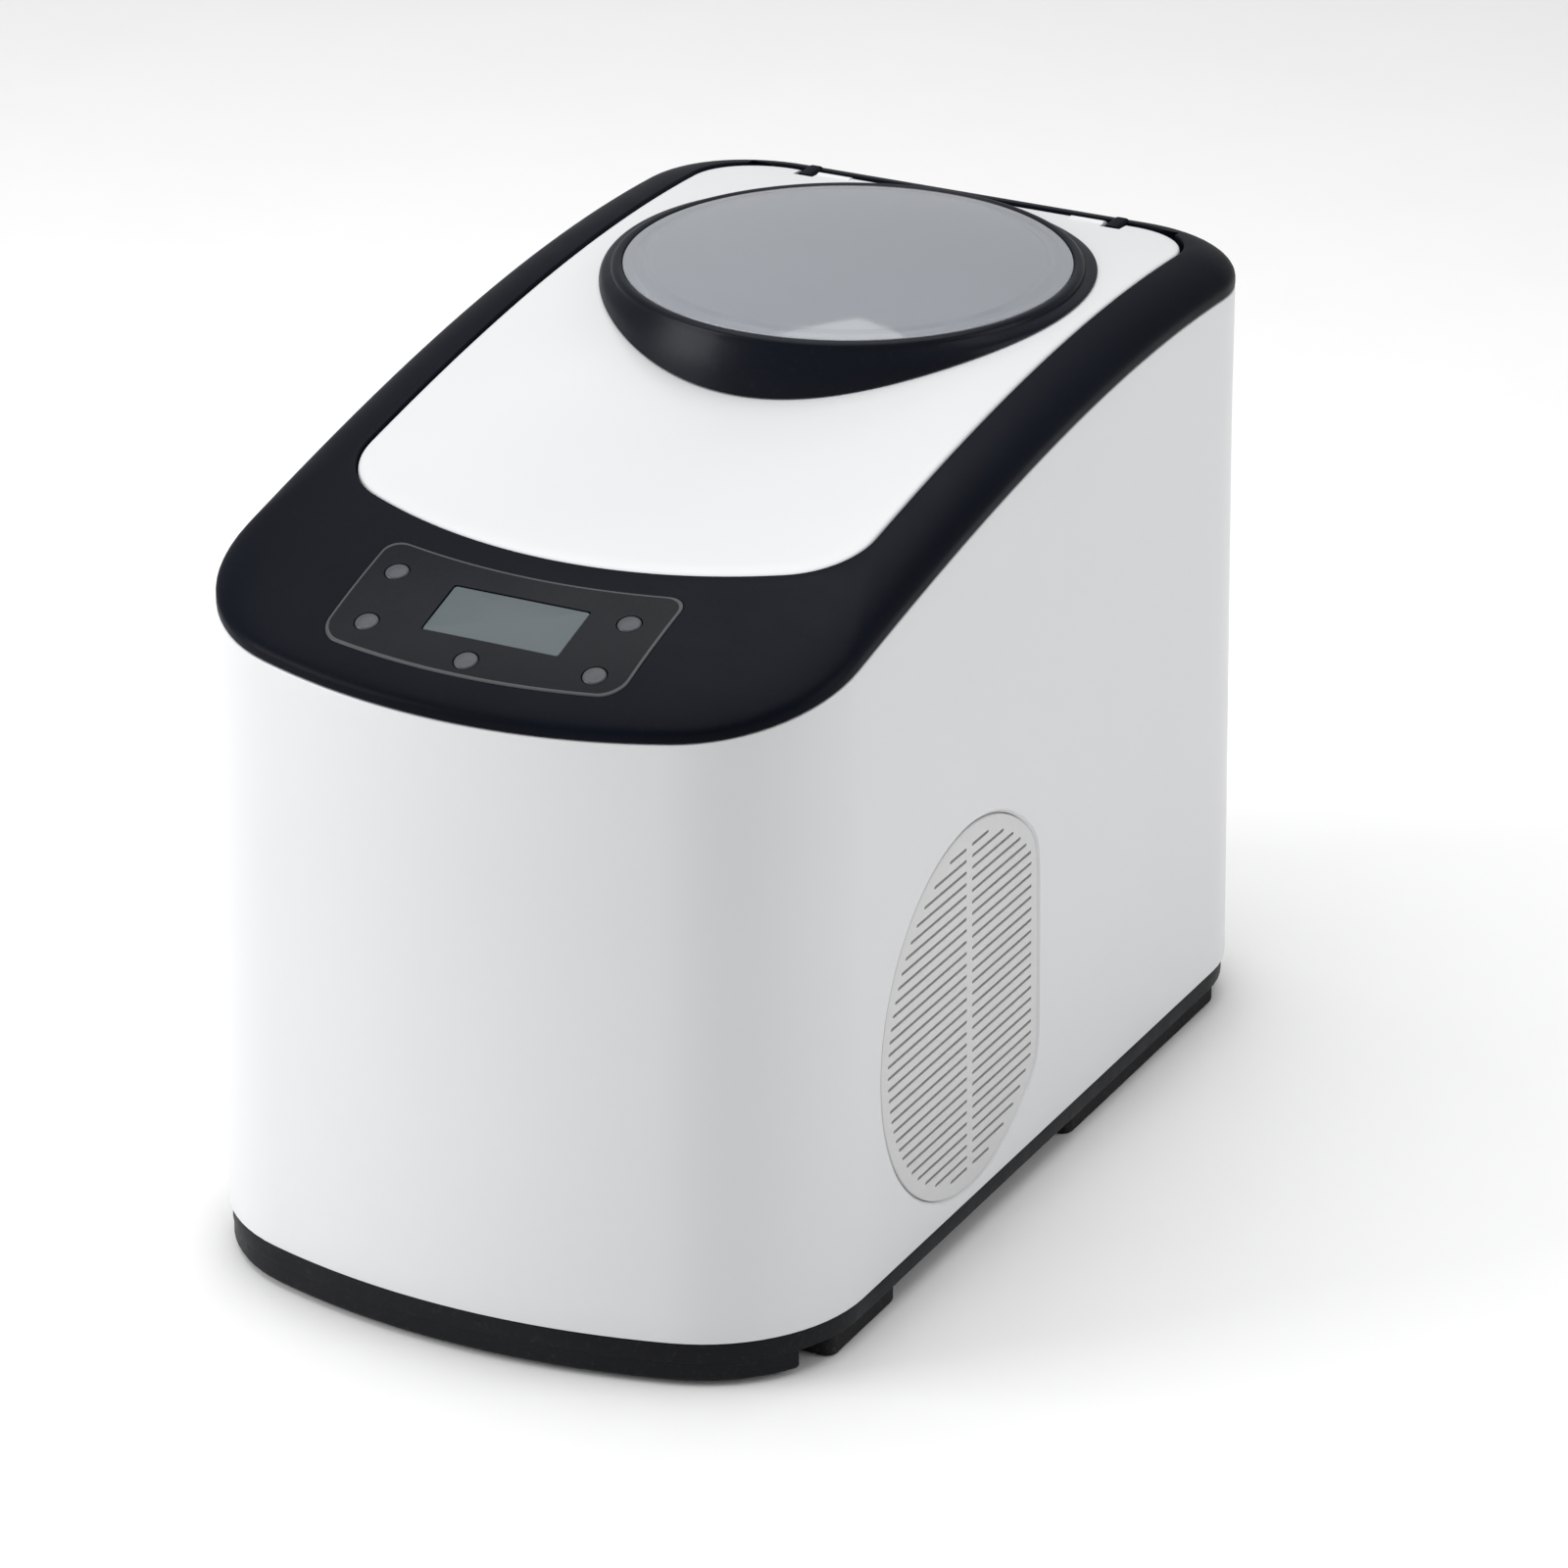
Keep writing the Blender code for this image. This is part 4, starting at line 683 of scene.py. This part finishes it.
def panelOutline(grow, count=12):
    # a rounded rectangle in (across, along), where along is measured from the body's front arc
    half, corner = panel["half"] + grow, panel["corner"] + grow
    loop = roundedRectangle(half, panel["length"] / 2 + grow, corner, count)
    spare = np.linspace(0, 1, 17)[1:-1]
    pieces = np.split(loop, 4)
    filled = []
    for now, after in zip(pieces, pieces[1:] + pieces[:1]):
        filled += [now, now[-1] + (after[0] - now[-1]) * spare[:, None]]
    return np.concatenate(filled)


def panelPoint(flat, rise):
    x = flat[..., 0] + panel["x"]
    y = frontArc(body, x) + panel["front"] + panel["length"] / 2 + flat[..., 1]
    return np.stack([x, y, panelHeight(x, y) + rise], -1)


def slabForm(grow, high, low):
    plan = panelOutline(grow)
    shrink = np.concatenate([np.linspace(0.1, 1, 10), np.linspace(1, 0.1, 10)])
    rise = np.concatenate([np.full(10, low), np.full(10, high)])
    grid = panelPoint(plan[None] * shrink[:, None, None], rise[:, None])
    points, faces = skin(grid, capFirst=True, capLast=True)
    return formOf(points, faces)


def lcdPlace(points):
    x, y = panel["lcd"]
    return placed(points, (x, y, float(panelHeight(x, y))), panelTurn(x, y))


def lcdForm(width, height, deep):
    section = roundedRectangle(width / 2, height / 2, panel["lcdCorner"], 5)
    rows = np.array([ringOf(section, z) for z in (-deep, deep)])
    points, faces = skin(lcdPlace(rows), capFirst=True, capLast=True)
    return formOf(points, faces)


def pillar(spot, radius, reach):
    x, y = spot
    rows = spun([(radius, -reach), (radius, reach)], (0, 0), 48)
    rows = placed(rows, (x, y, float(panelHeight(x, y))), panelTurn(x, y))
    points, faces = skin(rows, capFirst=True, capLast=True)
    return formOf(points, faces)


def makePanel():
    # the fascia: the panel outline drawn in towards its middle over the collar's own surface,
    # with a quarter-round along its top edge
    plan = panelOutline(0.0)
    edge, line, top = 0.0004, 0.0011, 0.0003
    a = arcSteps(4)
    inward = np.concatenate([[0.0, 0.0], edge * (1 - np.cos(a[1:])), [line, line + 0.0001]])
    rise = np.concatenate([[-0.0013, top - edge], top - edge + edge * np.sin(a[1:]), [top, top]])
    flat = np.linspace(0.94, 0.08, 12)
    shrinkX = np.concatenate([[0.4], 1 - inward / panel["half"], flat])
    shrinkY = np.concatenate([[0.4], 1 - inward / (panel["length"] / 2), flat])
    rise = np.concatenate([[-0.0013], rise, np.full(12, top)])
    scale = np.stack([shrinkX, shrinkY], -1)[:, None]
    points, faces = skin(panelPoint(plan[None] * scale, rise[:, None]), capFirst=True, capLast=True)
    fascia = addPiece("fascia_plate", points, faces, finishes["blackFascia"], "root", ["panel_fascia"])
    fascia.data.materials.append(finishes["trimLine"])
    band = np.zeros(len(fascia.data.polygons), np.int32)
    band[2 * len(plan):6 * len(plan)] = 1   # the quarter-round and the narrow strip inside it
    fascia.data.polygons.foreach_set("material_index", band)
    helpers = [lcdForm(panel["lcdSize"][0], panel["lcdSize"][1], panel["through"])]
    helpers += [pillar(spot, panel["holeRadius"], 0.008) for spot in buttons.values()]
    carve(fascia, "DIFFERENCE", *helpers)
    # the display cover: a rounded slab, a little below the fascia, with a soft edge
    width, height = (full / 2 - shell["gap"] for full in panel["lcdSize"])
    profile = [(0.0006, -0.0011), (0.0, -0.0009), (0.0, -0.0004), (0.0002, -0.0001), (0.0006, 0.0)]
    rows = np.array([ringOf(roundedRectangle(width - d, height - d, panel["lcdCorner"], 8), z - 0.0001)
                     for d, z in profile])
    points, faces = skin(lcdPlace(rows), capFirst=True, capLast=True)
    lens = addPiece("display_cover", points, faces, finishes["displayCover"], "root", ["lcd_lens"])


def makeButtons():
    # a low dome over a rounded edge, a straight skirt and a wider flange below the panel
    a = arcSteps(6)
    dome = np.linspace(0.0034, 0.0004, 7)
    profile = np.concatenate([
        [(0.0004, -0.0046), (0.0056, -0.0046), (0.0056, -0.0036), (0.0044, -0.0036)],
        np.stack([0.0034 + 0.0010 * np.cos(a), -0.0002 + 0.0009 * np.sin(a)], 1),
        np.stack([dome, 0.0007 + 0.0003 * (1 - (dome / 0.0034) ** 2)], 1),
    ])
    for name, (x, y) in buttons.items():
        rows = placed(spun(profile, (0, 0), 48), (x, y, float(panelHeight(x, y))), panelTurn(x, y))
        points, faces = skin(rows, capFirst=True, capLast=True)
        cap = addPiece(name + "_cap", points, faces, finishes["greyButton"], name, [name])


base = dict(bottom=0.0095, plinth=0.0015, floor=0.0125, flush=0.0015, plinthEnd=-0.174)
feet = dict(width=0.022, x=0.1125, front=(-0.1330, 0.052), rear=(0.1080, 0.136), height=0.0092)


def bodyRow(plan, out, z, inset):
    return ringOf(plan + out * (draftAt(z) - inset), z)


def makeBase():
    # the tray: a skirt flush with the housing, an upstand inside it, and a floor
    plan, out = outline(body)
    flush, seam, edge = base["flush"], shell["seam"], 0.0008
    a = arcSteps(4)
    rows = [bodyRow(plan, out, base["bottom"] + edge * (1 - np.sin(t)), flush + edge * (1 - np.cos(t)))
            for t in a[::-1]]
    rows += [bodyRow(plan, out, seam - edge * (1 - np.sin(t)), flush + edge * (1 - np.cos(t))) for t in a]
    upstand = ((seam, 0.0029), (seam + 0.010, 0.0029), (seam + 0.010, 0.0055), (base["floor"], 0.0055))
    rows += [bodyRow(plan, out, z, inset) for z, inset in upstand]
    points, faces = skin(np.array(rows), capFirst=True, capLast=True)
    tray = addPiece("base_moulding", points, faces, finishes["blackBase"], "root", ["base_tray"])
    # the plinth under the front: a rounded lower edge, cut off square behind
    low = base["plinth"]
    rounded = ((low, 0.0028), (low + 0.0008, 0.0012), (low + 0.0022, 0.0004),
               (base["bottom"] + 0.0010, 0.0004))
    rows = [bodyRow(plan, out, z, flush + inset) for z, inset in rounded]
    points, faces = skin(np.array(rows), capFirst=True, capLast=True)
    plinth = addPiece("plinth", points, faces, finishes["blackBase"], None, None)
    carve(plinth, "DIFFERENCE", boxForm((0.30, 0.50, 0.05), (0, base["plinthEnd"] + 0.25, 0.005), 0.001))
    carve(tray, "UNION", plinth)
    # feet: rounded bars whose lower edge is a quarter-round, with the screw sunk from below
    height, edge = feet["height"], 0.0016
    for label in ("front", "rear"):
        y, length = feet[label]
        for side, word in ((-1, "left"), (1, "right")):
            profile = [(edge * (1 - np.cos(t)), edge * (1 - np.sin(t))) for t in a[::-1]]
            profile += [(0.0, height - 0.0003), (0.0003, height)]
            rows = np.array([ringOf(roundedRectangle(feet["width"] / 2 - d, length / 2 - d, 0.0040, 8), z)
                             for d, z in profile])
            points, faces = skin(placed(rows, (side * feet["x"], y, 0)), capFirst=True, capLast=True)
            foot = addPiece(f"foot_{label}_{word}_pad", points, faces, finishes["footRubber"], "root",
                            [f"foot_{label}_{word}"])
            spot = (side * feet["x"], y)
            wells = []
            for radius, low, high in ((0.0046, -0.0040, 0.0062), (0.0022, 0.0, 0.020)):
                well = spun([(radius, low), (radius, high)], spot, 32)
                wellPoints, wellFaces = skin(well, capFirst=True, capLast=True)
                wells.append(formOf(wellPoints, wellFaces))
            carve(foot, "DIFFERENCE", *wells)


def towards(plan, radius):
    away = plan - [0.0, window["y"]]
    return np.array([0.0, window["y"]]) + radius * away / np.linalg.norm(away, axis=1)[:, None]


def makeLid():
    # rows: the tapered skirt, a rounded outer edge, the top skin swept in to the window hole,
    # the hole's wall, and the skin's underside back to the skirt
    plan, out = outline(lidPlan)
    skirt, thick, edge = chamber["deck"] + 0.0080, 0.0022, 0.0014
    rows = [ringOf(plan - out * 0.0107, skirt), ringOf(plan - out * 0.0085, skirt)]

    def row(xy, rise=0.0):
        rows.append(ringOf(xy, lidHeight(xy[:, 0], xy[:, 1]) + rise))
    for t in arcSteps(5):
        row(plan - out * edge * (1 - np.cos(t)), -edge * (1 - np.sin(t)) - 0.0001)
    start = plan - out * (edge + 0.0004)
    hole = towards(start, window["hole"])
    for f in np.linspace(0, 1, 26):
        row(start + (hole - start) * f)
    innerStart = plan - out * 0.0042
    innerHole = towards(innerStart, window["hole"])
    for f in np.linspace(1, 0, 12):
        row(innerStart + (innerHole - innerStart) * f, -thick)
    points, faces = skin(np.array(rows), wrap=True)
    lid = addPiece("lid_cover", points, faces, finishes["whiteShell"], "lid", ["lid_shell"])
    notches = [boxForm(hinge["notch"], (side * hinge["lugX"], hinge["notchY"], hinge["z"] + 0.0010), 0.001)
               for side in (-1, 1)]
    carve(lid, "DIFFERENCE", *notches)
    barrels = [rodForm(0.0024, 0.0070, (side * hinge["barrelX"], hinge["y"], hinge["z"])) for side in (-1, 1)]
    carve(lid, "UNION", *barrels)
    makeWindow()


def makeWindow():
    # the ring: its foot follows the lid, its wall leans in to a level rounded rim, then a ledge
    # for the glass and a sleeve down through the lid's hole
    angle = np.linspace(0, 2 * np.pi, 160, endpoint=False)
    around = np.stack([np.cos(angle), np.sin(angle)], 1)
    centre = np.array([0.0, window["y"]])
    top, radius, lift, bend = window["top"], window["radius"], 0.0007, 0.0022

    def foot(r, rise):
        xy = centre + around * r
        return ringOf(xy, lidHeight(xy[:, 0], xy[:, 1]) + rise)
    a = arcSteps(8)
    low = foot(0.0940, lift)
    knee = ringOf(centre + around * radius, top - bend)
    rows = [foot(0.0932, lift), low]
    for s in np.linspace(0, 1, 12)[1:]:
        # the wall bows outwards a little between its foot and its shoulder
        bow = 0.0009 * np.sin(np.pi * s)
        ring = low + (knee - low) * s
        ring[:, :2] += around * bow
        rows.append(ring)
    for t in a[1:]:
        turned = centre + around * (radius - bend * (1 - np.cos(t)))
        rows.append(ringOf(turned, top - bend + bend * np.sin(t)))
    for r, z in ((0.0862, top), (0.0856, top - 0.0003), (0.0853, top - 0.0009), (0.0853, top - 0.0014),
                 (0.0813, top - 0.0014), (0.0813, top - 0.0045), (0.0765, top - 0.0045), (0.0765, 0.2900),
                 (0.0828, 0.2900)):
        rows.append(ringOf(centre + around * r, z))
    rows.append(foot(0.0828, lift))
    points, faces = skin(np.array(rows), wrap=True)
    ringPiece = addPiece("window_bezel", points, faces, finishes["blackRing"], "lid", ["window_ring"])
    # the glass: a spherical cap whose thin flange rests on the ring and whose step drops inside it
    rim, crown, thick, step, seat = 0.0850, 0.0092, 0.0030, 0.0810, 0.0768
    high = top - 0.0002
    sphere = (rim ** 2 + crown ** 2) / (2 * crown)
    outside = np.linspace(rim - 0.0004, 0.0006, 40)
    inside = np.linspace(0.0006, seat - 0.0016, 36)
    soft = np.stack([rim - 0.0004 * (1 - np.cos(a)), high - 0.0004 + 0.0004 * np.sin(a)], 1)
    profile = np.concatenate([
        np.stack([inside, high + crown - thick - (sphere - np.sqrt(sphere ** 2 - inside ** 2))], 1),
        [(seat - 0.0006, top - 0.0038), (seat, top - 0.0042), (step, top - 0.0042), (step, top - 0.0011),
         (rim, top - 0.0011)], soft[:-1],
        np.stack([outside, high + crown - (sphere - np.sqrt(sphere ** 2 - outside ** 2))], 1),
    ])
    points, faces = skin(spun(profile, centre, 128), capFirst=True, capLast=True)
    glass = addPiece("window_dome", points, faces, finishes["windowGlass"], "lid", ["window_glass"])


pan = dict(rim=0.190, bottom=0.066, pivot=0.1935)


def makePan():
    # rows of (half width, half depth, corner, height) up the outside, over a rolled rim, down the inside
    a = np.linspace(0, np.pi, 9)
    low, rim = pan["bottom"], pan["rim"]
    sections = [(0.0540, 0.0520, 0.0200, low), (0.0553, 0.0533, 0.0213, low + 0.0006),
                (0.0562, 0.0542, 0.0222, low + 0.0018), (0.0566, 0.0546, 0.0226, low + 0.0034)]
    climb = np.linspace(0, 1, 10)
    sections += [(0.0566 + 0.0072 * s, 0.0546 + 0.0072 * s, 0.0226 + 0.0014 * s, low + 0.0034 + 0.1166 * s)
                 for s in climb[1:]]
    sections += [(0.0646 + 0.0014 * np.sin(t), 0.0626 + 0.0014 * np.sin(t), 0.0240,
                  rim - 0.0016 - 0.0014 * np.cos(t)) for t in a]
    sections += [(0.0626, 0.0606, 0.0230, rim - 0.0012)]
    sections += [(0.0624 - 0.0072 * s, 0.0604 - 0.0072 * s, 0.0230 - 0.0010 * s, rim - 0.003 - 0.116 * s)
                 for s in climb]
    sections += [(0.0545, 0.0525, 0.0205, low + 0.0040), (0.0530, 0.0510, 0.0190, low + 0.0020)]
    rows = np.array([ringOf(roundedRectangle(hx, hy, r, 12), z) for hx, hy, r, z in sections])
    points, faces = skin(placed(rows, (0, chamber["y"], 0)), capFirst=True, capLast=True)
    panPiece = addPiece("loaf_pan", points, faces, finishes["panCoating"], "pan", ["bread_pan"])
    ears = []
    for side in (-1, 1):
        angle = np.linspace(0, 2 * np.pi, 40, endpoint=False)
        loop = np.stack([0.0070 * np.sign(np.cos(angle)) * np.abs(np.cos(angle)) ** 0.5,
                         0.0080 * np.sign(np.sin(angle)) * np.abs(np.sin(angle)) ** 0.7], 1)
        bar = np.array([np.stack([np.full(40, x), loop[:, 0], loop[:, 1]], 1) for x in (-0.00125, 0.00125)])
        place = (side * 0.0665, chamber["y"], pan["pivot"] - 0.0035)
        earPoints, earFaces = skin(placed(bar, place), capFirst=True, capLast=True)
        ears.append(formOf(earPoints, earFaces))
    carve(panPiece, "UNION", *ears)
    holes = [rodForm(0.0020, 0.005, (side * 0.0665, chamber["y"], pan["pivot"])) for side in (-1, 1)]
    bore = spun([(0.0052, pan["bottom"] - 0.015), (0.0052, pan["bottom"] + 0.015)], (0, chamber["y"]), 48)
    borePoints, boreFaces = skin(bore, capFirst=True, capLast=True)
    holes.append(formOf(borePoints, boreFaces))
    carve(panPiece, "DIFFERENCE", *holes)


slotFinish = dict(
    white_plastic="whiteCan", black_plastic="blackCollar", grey_plastic="greyButton",
    dark_plastic="darkMoulding", rubber="footRubber", silicone="redSilicone", window_glass="innerGlass",
    screen_glass="displayCover", steel="drawnSteel", aluminium="castAluminium", coated_pan="panCoating",
    copper="windingCopper", circuit_board="circuitBoard",
)


def dressNodes():
    slots = {part["node"]: part["material_slot"] for part in frame["record"]["subparts"]}
    for name, piece in nodes.items():
        piece.data.materials.clear()
        piece.data.materials.append(finishes[slotFinish[slots[name]]])
    for name in ("heating_element", "pan_handle", "hinge_pin_left", "hinge_pin_right"):
        nodes[name].material_slots[0].material = finishes["rodSteel"]


def makeFloor():
    # a wide level sheet with a faint mottled sheen
    half = 6.0
    mesh = bpy.data.meshes.new("floor")
    corners = [(-half, -half, 0), (half, -half, 0), (half, half, 0), (-half, half, 0)]
    mesh.from_pydata(corners, [], [(0, 1, 2, 3)])
    values = {"Colour": grey(0.95), "Drift": grey(0.94), "Dust": grey(0.9), "Dust Amount": 0.0,
              "Rough Low": 0.6, "Rough High": 0.7, "Grain": 60.0}
    mesh.materials.append(shader("paleFloor", moulded, values, (0.0, 0.0001)))
    floor = bpy.data.objects.new("floor", mesh)
    scene.collection.objects.link(floor)


makeStudio()
print("studio ready")
finishes = makeFinishes()
dressNodes()
makeFloor()
print("finishes ready")
makeHousing()
print("housing ready")
makeGrilles()
print("grilles ready")
makeCollar()
makePanel()
makeButtons()
print("collar and panel ready")
makeBase()
print("base and feet ready")
makeLid()
makePan()
print("lid and pan ready")
